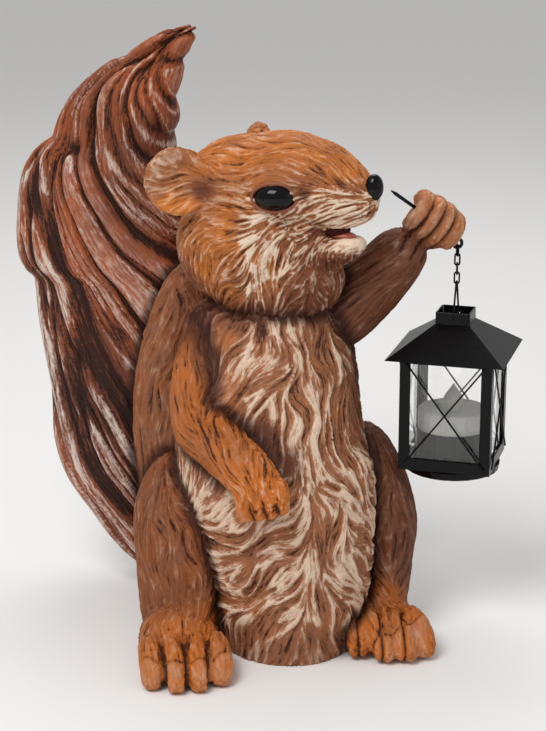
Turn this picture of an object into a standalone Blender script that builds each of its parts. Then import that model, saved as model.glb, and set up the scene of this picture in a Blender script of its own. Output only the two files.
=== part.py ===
"""Garden statue of a sitting squirrel that holds up a small tealight lantern.

The squirrel is one cast figure, flat underneath, with its fist bored for a wire hook.
A short chain hangs from the hook's eye and carries the lantern: a bent sheet roof, a
square frame with glass panes and crossed wires, and a turned base with a tealight.

Metres, +Z up. The squirrel's belly faces -Y and the origin is on its flat underside.
"""

import itertools
import math

import bmesh
import bpy
import numpy as np
from mathutils import Matrix, Vector

# Figure: every place and size in the figure's tables is in 340ths of its height
HEIGHT = 0.340
UNIT = HEIGHT / 340
FIGURE_TRIANGLES = 7100
FINE_VOXEL = 2.3
HALF_WIDTHS_FULL = 5.0

# Fur carved in the cast, in 340ths of the height: lock widths and lengths
FUR_WIDTH = 9.5
TAIL_LOCK_WIDTH = 13
LOCK_LENGTH = 24
WAVE_LENGTH = 24
WAVE_SWING = math.radians(35)
FUR_SEED = 7

# Hook, chain and bail
ROD_DIAMETER = 0.0020
ROD_CLEARANCE = 0.0005
WIRE_DIAMETER = 0.0011
EYE_RADIUS = 0.0024
HOOK_SLOPE = math.radians(35.9)
HOOK_LENGTH = 0.0500
HOOK_EYE_HEIGHT = 0.2199
LINK_COUNT = 4
LINK_LENGTH = 0.0077
HANG_GAP = 0.0003

# Lantern
LANTERN_X = 0.1032
LANTERN_Y = -0.0261
LANTERN_TURN = math.radians(-31)
LANTERN_WIDTH = 0.0514
SHEET = 0.0008
POST_WIDTH = 0.0060
LOWER_RAIL = 0.0065
SEAT_WIDTH = 0.0030
WINDOW_TOP = 0.0615
EAVE_HEIGHT = 0.0641
EAVE_WIDTH = 0.0660
ROOF_RISE = 0.0169
COLLAR_WIDTH = 0.0192
COLLAR_HEIGHT = 0.0064
COLLAR_SLIT = 0.0008
BAIL_RISE = 0.0168
BAIL_HOLE_DROP = 0.0036
GLASS_THICKNESS = 0.0010
FIT_GAP = 0.0003

# Base, cup and tealight
BASE_RADIUS = 0.0272
BASE_DEPTH = 0.0046
NECK_RADIUS = 0.0110
CUP_FLOOR = 0.0076
CUP_RIM = 0.0196
CUP_WALL = 0.0008
TEALIGHT_HEIGHT = 0.0220
FLAME_HEIGHT = 0.0160
FLAME_RADIUS = 0.0058
WICK_WELL = 0.0020
ROUND_SEGMENTS = 24
FLAME_SEGMENTS = 12

# Colours: red, green, blue, roughness, metallic
CAST_FUR = ("cast_fur", 0.42, 0.17, 0.07, 0.75, 0.0)
BLACK_STEEL = ("black_steel", 0.012, 0.012, 0.013, 0.35, 0.0)
CLEAR_GLASS = ("clear_glass", 0.90, 0.94, 0.94, 0.05, 0.0)
CANDLE_WHITE = ("candle_white", 0.80, 0.80, 0.76, 0.45, 0.0)

# Head's own axes: forward, to the squirrel's right, and up
HEAD_CENTRE = np.array([-5.0, 8.0, 243.0])
HEAD_TURN = math.radians(43)
HEAD_FORWARD = np.array([math.sin(HEAD_TURN), -math.cos(HEAD_TURN), 0.0])
HEAD_RIGHT = np.array([-math.cos(HEAD_TURN), -math.sin(HEAD_TURN), 0.0])
UP = np.array([0.0, 0.0, 1.0])

# The tail stands behind the back, its broad side turned this far from the belly's
TAIL_TURN = math.radians(45)
TAIL_ACROSS = np.array([math.cos(TAIL_TURN), -math.sin(TAIL_TURN), 0.0])

# Spines of the figure's masses: x, y, z, half size across and half size through
TORSO = [
    (2, 3, 212, 28, 26),
    (7, 4, 187, 44, 36),
    (4, 2, 164, 48, 42),
    (3, 0, 142, 50, 47),
    (2, -4, 119, 52, 52),
    (2, -9, 97, 54, 56),
    (5, -15, 75, 54, 59),
    (6, -21, 41, 50, 57),
    (4, -24, 8, 45, 55),
    (4, -24, -30, 41, 52),
]
THIGH_RIGHT = [
    (-42, 22, 96, 16, 24),
    (-48, 10, 66, 24, 40),
    (-50, -2, 32, 23, 46),
    (-52, -8, -12, 21, 46),
]
THIGH_LEFT = [
    (55, 10, 108, 15, 18),
    (60, 4, 86, 20, 29),
    (63, -9, 56, 22, 40),
    (61, -20, 28, 17, 34),
    (58, -24, -6, 15, 30),
]
TAIL_WEB = [
    (-14, 36, 6, 26, 34),
    (-26, 46, 50, 34, 34),
    (-32, 52, 100, 38, 30),
    (-32, 52, 145, 34, 26),
    (-30, 50, 185, 22, 16),
    (-30, 50, 200, 12, 8),
]
TAIL = [
    (-50, 59, 12, 19, 18),
    (-56, 69, 31, 28, 24),
    (-59, 74, 49, 36, 28),
    (-66, 82, 73, 42, 31),
    (-66, 91, 108, 46, 32),
    (-66, 99, 144, 51, 31),
    (-65, 103, 174, 53, 30),
    (-66, 105, 183, 56, 29),
    (-69, 107, 191, 61, 29),
    (-70, 109, 217, 58, 28),
    (-70, 107, 239, 55, 27),
    (-68, 105, 253, 49, 26),
    (-65, 102, 262, 42, 25),
    (-64, 99, 268, 39, 24),
    (-61, 94, 282, 38, 22),
    (-56, 88, 297, 31, 19),
    (-47, 79, 312, 23, 16),
    (-37, 68, 325, 15, 12),
    (-25, 60, 334, 7, 7),
]
ARM_RIGHT = [
    (-24, 4, 180, 18, 20),
    (-34, -6, 152, 19, 20),
    (-39, -20, 127, 18, 18),
    (-34, -44, 119, 15, 15),
    (-27, -64, 112, 14, 13),
    (-22, -75, 104, 14, 10),
]
ARM_LEFT = [
    (30, 2, 172, 24, 24),
    (46, -7, 185, 20, 21),
    (59, -14, 198, 18, 18),
    (70, -19, 212, 16, 16),
    (80, -23, 223, 13, 13),
]
FOOT_RIGHT = [
    (-54, -14, 2, 20, 14),
    (-59, -38, 11, 22, 16),
    (-64, -60, 6, 21, 11),
    (-66, -76, 0, 18, 4),
]
FOOT_LEFT = [
    (54, -14, 2, 18, 17),
    (54, -38, 11, 20, 17),
    (53, -56, 6, 20, 12),
    (52, -70, 0, 17, 4),
]

# Toes: four on each foot, from a row of roots to their tips
DIGITS = 4
TOE_HALF_WIDTH = 6.3
TOE_SPACING = 12.25
TOE_LENGTH = 30
TOE_SET_BACK = 3.2
TOES_RIGHT = (-62, -63, 2)
TOES_LEFT = (53, -57, 3)

# Fingers of the paw on the belly, and those round the rod
FINGER_HALF_WIDTH = 3.7
FINGER_SPACING = 6.6
FINGERS_RIGHT = (-22, -78, 103)
CURLED_SPACING = 7.6
CURLED_HALF_WIDTH = 4.1

# Fist about the hook: its middle lies on the rod, and its fingers curl round it
FIST_CENTRE = np.array([88.0, -25.5, 232.6])
FIST_RADIUS = 15.0
ROD_ALONG = np.array([math.cos(HOOK_SLOPE), 0.0, -math.sin(HOOK_SLOPE)])

# Ear, eye and nose, along the head's axes
EAR_PLACES = {1: (-20.5, 41, 15), -1: (-15, -41, 19.5)}
EAR_FACING = (0.55, 0.80, 0.22)
EAR_RADIUS = 18.5
EAR_BULGE = 12.5
EAR_RIM = 5.0
EAR_HOLLOW = 8.5
EYE_PLACE = (30, 24, 8.3)
EYE_HALF = (11.5, 7.5, 7.4)
LID_HALF_LENGTH = 13.5
LID_RISE = 8.2
LID_FALL = 6.6
LID_THICKNESS = 2.2
NOSE_PLACE = (76.6, 0, 14.6)
NOSE_HALF = (5, 5.2, 7.2)
TONGUE_PLACE = (53, 0, -14.2)
TONGUE_HALF = (10.5, 5.2, 2.6)
SKULL_PLACE = (-2, 0, 1.5)
SKULL_HALF = (39, 36, 34.5)
CHEEK_PLACE = (0, 13, -23)
CHEEK_HALF = (37, 27, 33)
THROAT_PLACE = (12, 0, -44)
THROAT_HALF = (34, 33, 30)
CHIN_PLACE = (30, 0, -40)
CHIN_HALF = (26, 25, 22)
MUZZLE = [
    (0, 0, 8, 33, 32),
    (22, 0, 14, 30, 27),
    (40, 0, 14, 24, 23.5),
    (52, 0, 11, 19.5, 22),
    (62, 0, 9.5, 15.5, 19),
    (71, 0, 9.5, 11.5, 14.5),
    (78, 0, 11, 7, 9.5),
]
JAW = [
    (20, 0, -24, 24, 18),
    (40, 0, -25, 17, 13),
    (54, 0, -23, 12.5, 9.5),
    (64, 0, -20, 10.5, 6.5),
    (71, 0, -18, 6.5, 4.5),
]

# Which way the fur lies: a place, a direction, its reach and how deep it is carved
BODY_COMBING = [
    (5, -45, 175, 0.1, 0, -1, 34, 3.1),
    (-30, -35, 170, -0.25, 0, -1, 26, 3.1),
    (8, -55, 135, 0, 0, -1, 26, 3.4),
    (12, -62, 105, 0.1, 0, -1, 12, 3.4),
    (-22, -58, 92, -0.8, 0.2, -0.6, 22, 3.6),
    (42, -50, 98, 0.8, 0.2, -0.6, 22, 3.6),
    (-30, -55, 66, -0.95, 0.2, -0.35, 22, 4.0),
    (44, -58, 66, 0.85, 0.2, -0.5, 22, 4.0),
    (-24, -60, 34, -0.6, 0, -0.8, 22, 4.0),
    (36, -60, 34, 0.6, 0, -0.8, 22, 4.0),
    (8, -76, 40, 0, 0, -1, 20, 4.0),
    (-48, 5, 160, 0, 0, -1, 30, 2.9),
    (52, 0, 150, 0, 0, -1, 30, 2.5),
    (10, 50, 160, 0, 0, -1, 45, 2.9),
    (30, 45, 70, 0.2, 0.1, -1, 55, 2.9),
    (-72, 0, 70, 0.1, -0.2, -1, 26, 2.3),
    (-66, -30, 50, 0.25, -0.2, -1, 26, 2.3),
    (86, -6, 70, 0, -0.1, -1, 26, 2.3),
    (76, -30, 40, -0.1, -0.2, -1, 24, 2.3),
    (-62, -55, 24, -0.15, -1, -0.4, 20, 0.5),
    (53, -55, 26, 0, -1, -0.5, 20, 0.5),
]
HEAD_COMBING = [
    (74, 0, 28, -1, 0, 0.2, 14, 0.9),
    (62, 14, 14, -1, 0, -0.1, 14, 0.9),
    (62, -14, 14, -1, 0, -0.1, 14, 0.9),
    (40, 0, 38, -1, 0, 0.1, 20, 1.0),
    (8, 0, 42, -1, 0, 0, 26, 1.0),
    (40, 24, -2, -0.8, 0.2, -0.5, 14, 1.4),
    (40, -24, -2, -0.8, -0.2, -0.5, 14, 1.4),
    (12, 38, -10, -0.75, 0, -0.65, 20, 2.0),
    (12, -38, -10, -0.75, 0, -0.65, 20, 2.0),
    (14, 30, -36, -0.35, 0, -1, 20, 2.4),
    (14, -30, -36, -0.35, 0, -1, 20, 2.4),
    (42, 8, -34, -0.3, 0, -1, 16, 1.8),
    (64, 0, -24, -1, 0, -0.4, 10, 0.2),
    (76, 0, -14, -1, 0, -0.4, 10, 0.0),
    (-34, 20, 10, -0.5, 0, -0.9, 26, 1.5),
    (-34, -20, 10, -0.5, 0, -0.9, 26, 1.5),
    (-22, 46, 15, 0, 1, 0, 17, 0.0),
    (-22, -46, 15, 0, -1, 0, 17, 0.0),
]


def remove_everything():
    """Removes the objects that the scene holds."""
    for thing in list(bpy.data.objects):
        bpy.data.objects.remove(thing)


def collection(name):
    """A new collection in the scene."""
    made = bpy.data.collections.new(name)
    bpy.context.scene.collection.children.link(made)
    return made


def material(finish):
    """A Principled material from a finish: its name, colour, roughness and metallic."""
    name, red, green, blue, roughness, metallic = finish
    made = bpy.data.materials.get(name)
    if made is None:
        made = bpy.data.materials.new(name)
        made.use_nodes = True
        shader = made.node_tree.nodes["Principled BSDF"]
        shader.inputs["Base Color"].default_value = (red, green, blue, 1)
        shader.inputs["Roughness"].default_value = roughness
        shader.inputs["Metallic"].default_value = metallic
        made.diffuse_color = (red, green, blue, 1)
    return made


def new_object(name, data, finish=None, parent=None, place=(0, 0, 0), home=None):
    """An object in a collection, with a finish, a parent and a place."""
    made = bpy.data.objects.new(name, data)
    (home or bpy.data.collections["squirrel_statue"]).objects.link(made)
    made.parent = parent
    made.location = place
    if finish:
        data.materials.append(material(finish))
    return made


def evaluated_mesh(thing):
    """The object's mesh with its modifiers, as a mesh of its own."""
    bpy.context.view_layer.update()
    graph = bpy.context.evaluated_depsgraph_get()
    return bpy.data.meshes.new_from_object(thing.evaluated_get(graph))


def mesh_of(bm, name="mass"):
    """Turns a bmesh into a mesh."""
    mesh = bpy.data.meshes.new(name)
    bm.to_mesh(mesh)
    bm.free()
    return mesh


def points_of(mesh):
    """A mesh's points as rows of an array, in 340ths of the height."""
    flat = np.empty(len(mesh.vertices) * 3, np.float32)
    mesh.vertices.foreach_get("co", flat)
    return flat.reshape(-1, 3).astype(float) / UNIT


def normals_of(mesh):
    """The direction that the skin faces at each of a mesh's points."""
    flat = np.empty(len(mesh.vertices) * 3, np.float32)
    mesh.vertex_normals.foreach_get("vector", flat)
    return flat.reshape(-1, 3).astype(float)


def unit_rows(rows):
    """Each row at length one."""
    return rows / np.maximum(np.linalg.norm(rows, axis=-1, keepdims=True), 1e-9)


def along(stations, share):
    """Smooth values between a table's rows, for shares from 0 to 1 of its length."""
    rows = np.asarray(stations, float)
    padded = np.vstack([2 * rows[0] - rows[1], rows, 2 * rows[-1] - rows[-2]])
    place = np.clip(share, 0, 1) * (len(rows) - 1)
    index = np.minimum(place.astype(int), len(rows) - 2)
    t = (place - index)[:, None]
    a, b, c, d = (padded[index + k] for k in range(4))
    cubic = 3 * b - a - 3 * c + d
    square = 2 * a - 5 * b + 4 * c - d
    return 0.5 * (2 * b + (c - a) * t + square * t**2 + cubic * t**3)


def heading(stations, share):
    """Which way a table's spine runs at these shares of its length."""
    step = 0.01
    return unit_rows((along(stations, share + step) - along(stations, share - step))[:, :3])


def swell(stations, side, rings=None, segments=20, level=False):
    """A sphere drawn out along a spine, its half sizes across and through from the table."""
    bm = bmesh.new()
    rings = rings or 6 + 4 * len(stations)
    bmesh.ops.create_uvsphere(bm, u_segments=segments, v_segments=rings, radius=1)
    sphere = np.array([vertex.co[:] for vertex in bm.verts])
    share = (1 - sphere[:, 2]) / 2
    rows = along(stations, share)
    forward = heading(stations, share)
    side = np.broadcast_to(np.asarray(side, float), forward.shape)
    leaning = np.sum(forward * side, axis=1, keepdims=True)
    across = side if level else unit_rows(side - forward * leaning)
    through = unit_rows(np.cross(forward, across))
    ring = np.maximum(1e-9, np.hypot(sphere[:, 0], sphere[:, 1]))
    full = np.maximum(0, 1 - np.abs(sphere[:, 2]) ** HALF_WIDTHS_FULL) ** (1 / HALF_WIDTHS_FULL)
    reach_across = rows[:, 3] * full * sphere[:, 0] / ring
    reach_through = rows[:, 4] * full * sphere[:, 1] / ring
    points = rows[:, :3] + across * reach_across[:, None] + through * reach_through[:, None]
    for vertex, point in zip(bm.verts, points):
        vertex.co = Vector(point * UNIT)
    bmesh.ops.recalc_face_normals(bm, faces=bm.faces)
    return mesh_of(bm)


def shaped_sphere(place, axes, shape):
    """A sphere whose points a function shapes, turned to three axes and put in place."""
    bm = bmesh.new()
    bmesh.ops.create_uvsphere(bm, u_segments=24, v_segments=16, radius=1)
    sphere = np.array([vertex.co[:] for vertex in bm.verts])
    points = np.asarray(place) + shape(sphere) @ np.array(axes)
    for vertex, point in zip(bm.verts, points):
        vertex.co = Vector(point * UNIT)
    bmesh.ops.recalc_face_normals(bm, faces=bm.faces)
    return mesh_of(bm)


def ellipsoid(place, half, axes):
    """A sphere with half sizes along three axes."""
    return shaped_sphere(place, axes, lambda sphere: sphere * half)


def in_head(forward, right, up):
    """A place given along the head's own axes."""
    return HEAD_CENTRE + turned_to_head(forward, right, up)


def turned_to_head(forward, right, up):
    """A direction given along the head's own axes."""
    return forward * HEAD_FORWARD + right * HEAD_RIGHT + up * UP


def head_table(rows):
    """A table along the head's axes, turned to the figure's."""
    return [(*in_head(*row[:3]), *row[3:]) for row in rows]


def fuse(meshes, voxel, melting):
    """Melts closed meshes into one skin of small even faces."""
    bm = bmesh.new()
    for mesh in meshes:
        bm.from_mesh(mesh)
    thing = new_object("fused", mesh_of(bm))
    remesh = thing.modifiers.new("voxels", "REMESH")
    remesh.mode = "VOXEL"
    remesh.voxel_size = voxel * UNIT
    smooth = thing.modifiers.new("melting", "SMOOTH")
    smooth.iterations = melting
    made = evaluated_mesh(thing)
    bpy.data.objects.remove(thing)
    return made


def head_axes():
    """The head's three axes."""
    return (HEAD_FORWARD, HEAD_RIGHT, UP)


def skull():
    """Skull, cheeks, muzzle and jaw melted together, the mouth left open between them."""
    masses = [
        ellipsoid(in_head(*SKULL_PLACE), SKULL_HALF, head_axes()),
        ellipsoid(in_head(*THROAT_PLACE), THROAT_HALF, head_axes()),
        ellipsoid(in_head(*CHIN_PLACE), CHIN_HALF, head_axes()),
        swell(head_table(MUZZLE), HEAD_RIGHT),
        swell(head_table(JAW), HEAD_RIGHT),
    ]
    f, r, u = CHEEK_PLACE
    for side in (-1, 1):
        masses.append(ellipsoid(in_head(f, r * side, u), CHEEK_HALF, head_axes()))
    return fuse(masses, FINE_VOXEL, 7)


def cup_shape(sphere):
    """An ear: bulged behind, hollow in front, its rim a little rolled."""
    inside = 1 - sphere[:, 0] ** 2 - sphere[:, 1] ** 2
    front = EAR_RIM * sphere[:, 2] - EAR_HOLLOW * inside
    depth = np.where(sphere[:, 2] > 0, front, EAR_BULGE * sphere[:, 2])
    return np.column_stack([sphere[:, 0] * EAR_RADIUS, sphere[:, 1] * EAR_RADIUS, depth])


def ear(side):
    """One ear, on the squirrel's right for side 1 and on its left for -1."""
    forward, right, up = EAR_FACING
    facing = turned_to_head(forward, right * side, up)
    facing = facing / np.linalg.norm(facing)
    level = np.cross(UP, facing)
    level = level / np.linalg.norm(level)
    return shaped_sphere(in_head(*EAR_PLACES[side]), (level, np.cross(facing, level), facing), cup_shape)


def eye_axes(side):
    """An eye's axes: along its slit, out of the head, and up."""
    along_slit = unit_rows(turned_to_head(0.93, -0.36 * side, 0.02))
    outward = unit_rows(turned_to_head(0.36, 0.93 * side, 0.1))
    return (along_slit, outward, UP)


def face_details():
    """Eyes with their lids, nose, tongue, and a thick lip round the jaw."""
    f, r, u = EYE_PLACE
    details = [
        ellipsoid(in_head(*NOSE_PLACE), NOSE_HALF, head_axes()),
        ellipsoid(in_head(*TONGUE_PLACE), TONGUE_HALF, head_axes()),
    ]
    for side in (-1, 1):
        place = in_head(f, r * side, u)
        details.append(ellipsoid(place, EYE_HALF, eye_axes(side)))
        details.append(lid(place, eye_axes(side)))
    return details


def lid(place, axes):
    """A ring of flesh round an eye, drawn in to a point in front and behind."""
    slit, outward, up = axes
    rows = []
    for turn in np.linspace(0, 2 * math.pi, 13):
        rise = math.sin(turn) * (LID_RISE if math.sin(turn) > 0 else LID_FALL)
        out = 2 + 2.5 * abs(math.sin(turn))
        spot = place + slit * LID_HALF_LENGTH * math.cos(turn) + up * rise + outward * out
        rows.append((*spot, LID_THICKNESS, LID_THICKNESS))
    return swell(rows, outward, rings=30, segments=8)


def numbered():
    """Each digit's place in its row, counted from the middle."""
    return [index - (DIGITS - 1) / 2 for index in range(DIGITS)]


def toes(middle, across, forward):
    """A row of toes that bend down to the ground, the outer ones set back."""
    made = []
    for offset in numbered():
        root = np.array(middle) + across * offset * TOE_SPACING
        reach = forward * (TOE_LENGTH - TOE_SET_BACK * offset**2)
        rows = [
            (*(root - forward * 8 + UP * 13), TOE_HALF_WIDTH, 7),
            (*(root + reach * 0.4 + UP * 11.5), TOE_HALF_WIDTH, 7.5),
            (*(root + reach * 0.8 + UP * 6.5), TOE_HALF_WIDTH, 7),
            (*(root + reach - UP * 1.5), TOE_HALF_WIDTH - 1.2, 6),
        ]
        made.append(swell(rows, across, rings=18, segments=14))
    return made


def paw_fingers():
    """Four fingers of the right paw, bent down over the belly."""
    made = []
    across = unit_rows(np.array([0.93, -0.30, 0.2]))
    for offset in numbered():
        root = np.array(FINGERS_RIGHT) + across * offset * FINGER_SPACING
        shorter = abs(offset)
        rows = [
            (*(root + np.array([0, 3, 6])), FINGER_HALF_WIDTH, 6),
            (*(root + np.array([0, -2, -3])), FINGER_HALF_WIDTH, 5.5),
            (*(root + np.array([0.6, 0, -10 + shorter])), FINGER_HALF_WIDTH, 5),
            (*(root + np.array([0.6, 4, -15 + 1.5 * shorter])), FINGER_HALF_WIDTH - 0.6, 4),
        ]
        made.append(swell(rows, across, rings=14, segments=12))
    return made


def fist():
    """A closed fist: a palm, and four fingers curled round the rod's line."""
    outward = np.array([math.sin(HOOK_SLOPE), 0.0, math.cos(HOOK_SLOPE)])
    toward = np.array([0.0, -1.0, 0.0])
    palm = FIST_CENTRE - outward * 3
    made = [ellipsoid(palm, (FIST_RADIUS - 1, FIST_RADIUS - 4, FIST_RADIUS - 3), (ROD_ALONG, toward, outward))]
    for offset in numbered():
        centre = FIST_CENTRE + ROD_ALONG * offset * CURLED_SPACING
        curl = 10.4 - 0.8 * offset**2
        rows = []
        for turn in np.linspace(math.radians(-60), math.radians(167 - 12 * offset), 7):
            spot = centre + outward * curl * math.cos(turn) + toward * curl * math.sin(turn)
            rows.append((*spot, CURLED_HALF_WIDTH, 4.8))
        made.append(swell(rows, ROD_ALONG, rings=22, segments=12))
    return made


def figure_masses():
    """Every mass of the figure, as closed meshes that cross each other."""
    straight = (1, 0, 0)
    body = [swell(TORSO, straight, segments=32), swell(THIGH_RIGHT, straight), swell(THIGH_LEFT, straight)]
    body += [swell(ARM_RIGHT, straight), swell(ARM_LEFT, (0, 1, 0)), swell(TAIL_WEB, TAIL_ACROSS * (-1, 1, 1))]
    feet = [swell(FOOT_RIGHT, straight), swell(FOOT_LEFT, straight)]
    feet += toes(TOES_RIGHT, unit_rows(np.array([1.0, -0.14, 0])), np.array([-0.12, -1.0, 0]))
    feet += toes(TOES_LEFT, unit_rows(np.array([1.0, -0.26, 0])), np.array([0.05, -1.0, 0]))
    head = [skull(), ear(1), ear(-1)] + face_details()
    tail = swell(TAIL, TAIL_ACROSS, segments=28, level=True)
    return [fuse(body, FINE_VOXEL, 5), tail] + feet + head + paw_fingers() + fist()


def table_combing(stations, depth, reach=1.3):
    """Combing rows along a limb's spine, from its root to its tip."""
    rows = np.asarray(stations, float)
    ways = heading(stations, np.linspace(0, 1, len(rows)))
    return [(*row[:3], *way, reach * max(row[3:]), depth) for row, way in zip(rows, ways)]


def tail_combing():
    """Combing rows that fan out from the tail's inner edge and turn up along its outer one."""
    rows = []
    shares = np.linspace(0.03, 0.97, 12)
    spine = along(TAIL, shares)
    ways = heading(TAIL, shares)
    for share, station, way in zip(shares, spine, ways):
        for edge in (-0.8, 0, 0.8):
            lean = math.radians(64 - 52 * share - 16 * edge)
            direction = way * math.cos(lean) - TAIL_ACROSS * math.sin(lean)
            place = station[:3] - TAIL_ACROSS * edge * station[3]
            rows.append((*place, *direction, 22, 6.5))
    return rows


def head_combing():
    """The head's combing rows, turned to the figure's axes."""
    return [(*in_head(*row[:3]), *turned_to_head(*row[3:6]), *row[6:]) for row in HEAD_COMBING]


def speckle(points, numbers):
    """Smooth noise: a random number at each whole place, blended between them."""
    base = np.floor(points).astype(int)
    part = points - base
    part = part * part * (3 - 2 * part)
    total = np.zeros(len(points))
    for corner in itertools.product((0, 1), repeat=3):
        share = np.prod(np.where(corner, part, 1 - part), axis=1)
        i, j, k = ((base + corner) % len(numbers)).T
        total += share * numbers[i, j, k]
    return total


class Coat:
    """The fur's lie over the figure, and the locks carved along it."""

    def __init__(self, combing):
        rows = np.array(combing, float)
        self.places = rows[:, :3]
        self.ways = unit_rows(rows[:, 3:6])
        self.reaches = rows[:, 6]
        self.depths = rows[:, 7]
        self.numbers = np.random.default_rng(FUR_SEED).uniform(-1, 1, (24, 24, 24))

    def weights(self, points):
        """How much each combing row counts at each point."""
        gaps = np.linalg.norm(points[:, None, :] - self.places[None], axis=2) / self.reaches
        raw = 1 / (gaps**2 + 0.02) ** 2
        return raw / raw.sum(axis=1, keepdims=True)

    def lie(self, points, normals):
        """Which way the fur lies on the skin, with a slow wave in it."""
        way = self.weights(points) @ self.ways
        way = unit_rows(way - normals * np.sum(way * normals, axis=1, keepdims=True))
        swing = WAVE_SWING * speckle(points / WAVE_LENGTH + 5, self.numbers) * 1.6
        side = np.cross(normals, way)
        return way * np.cos(swing)[:, None] + side * np.sin(swing)[:, None]

    def locks(self, points, normals, width):
        """Noise drawn out along the fur: near 1 on a lock and near -1 in a groove."""
        total = speckle(points / width, self.numbers)
        steps = 7
        for sign in (-1, 1):
            walker = points.copy()
            for _ in range(steps):
                walker = walker + sign * LOCK_LENGTH / steps * self.lie(walker, normals)
                total += speckle(walker / width, self.numbers)
        total /= total.std()
        return np.tanh(1.5 * total)

    def carve(self, mesh):
        """Presses the locks into a mesh, each region as deep as its combing says."""
        points = points_of(mesh)
        normals = normals_of(mesh)
        share = self.weights(points)
        depth = share @ self.depths
        in_tail = np.clip((depth - 4.4) / 1.2, 0, 1)
        fine = self.locks(points, normals, FUR_WIDTH)
        coarse = self.locks(points, normals, TAIL_LOCK_WIDTH)
        height = depth * (fine * (1 - in_tail) + coarse * in_tail)
        moved = points + normals * (0.5 * height)[:, None]
        mesh.vertices.foreach_set("co", (moved * UNIT).astype(np.float32).ravel())
        mesh.update()


def reduced(mesh, triangles):
    """The mesh with about this many triangles, most of them where it bends most."""
    thing = new_object("reduced", mesh)
    even = thing.modifiers.new("triangles", "TRIANGULATE")
    even.quad_method = "SHORTEST_DIAGONAL"
    fewer = thing.modifiers.new("fewer", "DECIMATE")
    fewer.ratio = triangles / (2 * len(mesh.polygons))
    made = evaluated_mesh(thing)
    bpy.data.objects.remove(thing)
    return made


def box(size, place):
    """A box mesh with its middle at a place."""
    bm = bmesh.new()
    bmesh.ops.create_cube(bm, size=1, matrix=Matrix.Translation(place) @ Matrix.Diagonal((*size, 1)))
    return mesh_of(bm, "box")


def rod(radius, length, sides, matrix):
    """A straight round rod along its own z axis, turned and placed by a matrix."""
    bm = bmesh.new()
    bmesh.ops.create_cone(
        bm, cap_ends=True, segments=sides, radius1=radius, radius2=radius, depth=length, matrix=matrix
    )
    return mesh_of(bm, "rod")


def boolean(thing, mesh, operation="DIFFERENCE", parent=None):
    """Cuts an object by a mesh, or joins the mesh to it."""
    tool = new_object(thing.name + "_tool", mesh, parent=parent, home=bpy.data.collections["cutters"])
    tool.hide_render = True
    tool.display_type = "WIRE"
    cut = thing.modifiers.new(operation.lower(), "BOOLEAN")
    cut.operation = operation
    cut.solver = "EXACT"
    cut.object = tool
    return tool


def squirrel():
    """The cast figure, carved, flat underneath, with the hook's bore through its fist."""
    skin = fuse(figure_masses(), FINE_VOXEL, 2)
    limbs = table_combing(ARM_RIGHT, 1.8) + table_combing(ARM_LEFT, 1.6)
    hands = [(-22, -78, 96, 0, -0.2, -1, 14, 0.2), (*FIST_CENTRE, 0.5, 0, 0.8, 19, 0.1)]
    Coat(BODY_COMBING + head_combing() + limbs + hands + tail_combing()).carve(skin)
    skin = reduced(skin, FIGURE_TRIANGLES)
    skin.polygons.foreach_set("use_smooth", [True] * len(skin.polygons))
    made = new_object("squirrel", skin, CAST_FUR)
    ground = HEIGHT / 4
    boolean(made, box((2 * HEIGHT, 2 * HEIGHT, ground), (0, 0, -ground / 2)))
    bore = ROD_DIAMETER / 2 + ROD_CLEARANCE
    middle = hook_point(HOOK_LENGTH / 2)
    aim = Vector(ROD_ALONG).to_track_quat("Z", "Y").to_matrix().to_4x4()
    boolean(made, rod(bore, 2 * HOOK_LENGTH, 12, Matrix.Translation(middle) @ aim))
    return made


def link_reach():
    """From a link's middle to the middle of the wire at its end."""
    return (LINK_LENGTH - WIRE_DIAMETER) / 2


def link_drop():
    """How far each link's middle hangs below the one above."""
    return 2 * link_reach() - WIRE_DIAMETER - HANG_GAP


def highest_link():
    """Height of the top link's middle, hung in the hook's eye."""
    inside = HOOK_EYE_HEIGHT - EYE_RADIUS + ROD_DIAMETER / 2
    return inside + HANG_GAP + WIRE_DIAMETER / 2 - link_reach()


def apex_rise():
    """Rise of the bail wire's middle at its top above the lantern's own zero."""
    return EAVE_HEIGHT + ROOF_RISE + COLLAR_HEIGHT + BAIL_RISE - WIRE_DIAMETER / 2


def lantern_height():
    """Height of the lantern's own zero, worked out down the chain from the hook's eye."""
    lowest = highest_link() - (LINK_COUNT - 1) * link_drop()
    apex = lowest - link_reach() + WIRE_DIAMETER + HANG_GAP
    return apex - apex_rise()


def hook_point(back):
    """A place on the rod's straight part, this far back from where its eye begins."""
    above = Vector((math.sin(HOOK_SLOPE), 0, math.cos(HOOK_SLOPE))) * EYE_RADIUS
    return Vector((LANTERN_X, LANTERN_Y, HOOK_EYE_HEIGHT)) + above - Vector(ROD_ALONG) * back


def wire(name, points, diameter, closed=False, bevel_resolution=2, parent=None):
    """A round wire through points, as a welded mesh."""
    curve = bpy.data.curves.new(name, "CURVE")
    curve.dimensions = "3D"
    curve.bevel_depth = diameter / 2
    curve.bevel_resolution = bevel_resolution
    curve.use_fill_caps = True
    spline = curve.splines.new("POLY")
    spline.points.add(len(points) - 1)
    for spot, point in zip(spline.points, points):
        spot.co = (*point, 1)
    spline.use_cyclic_u = closed
    guide = new_object(name + "_line", curve)
    mesh = evaluated_mesh(guide)
    bpy.data.objects.remove(guide)
    bm = bmesh.new()
    bm.from_mesh(mesh)
    bmesh.ops.remove_doubles(bm, verts=bm.verts, dist=0.00002)
    bmesh.ops.recalc_face_normals(bm, faces=bm.faces)
    for face in bm.faces:
        face.smooth = True
    return new_object(name, mesh_of(bm, name), BLACK_STEEL, parent)


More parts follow.
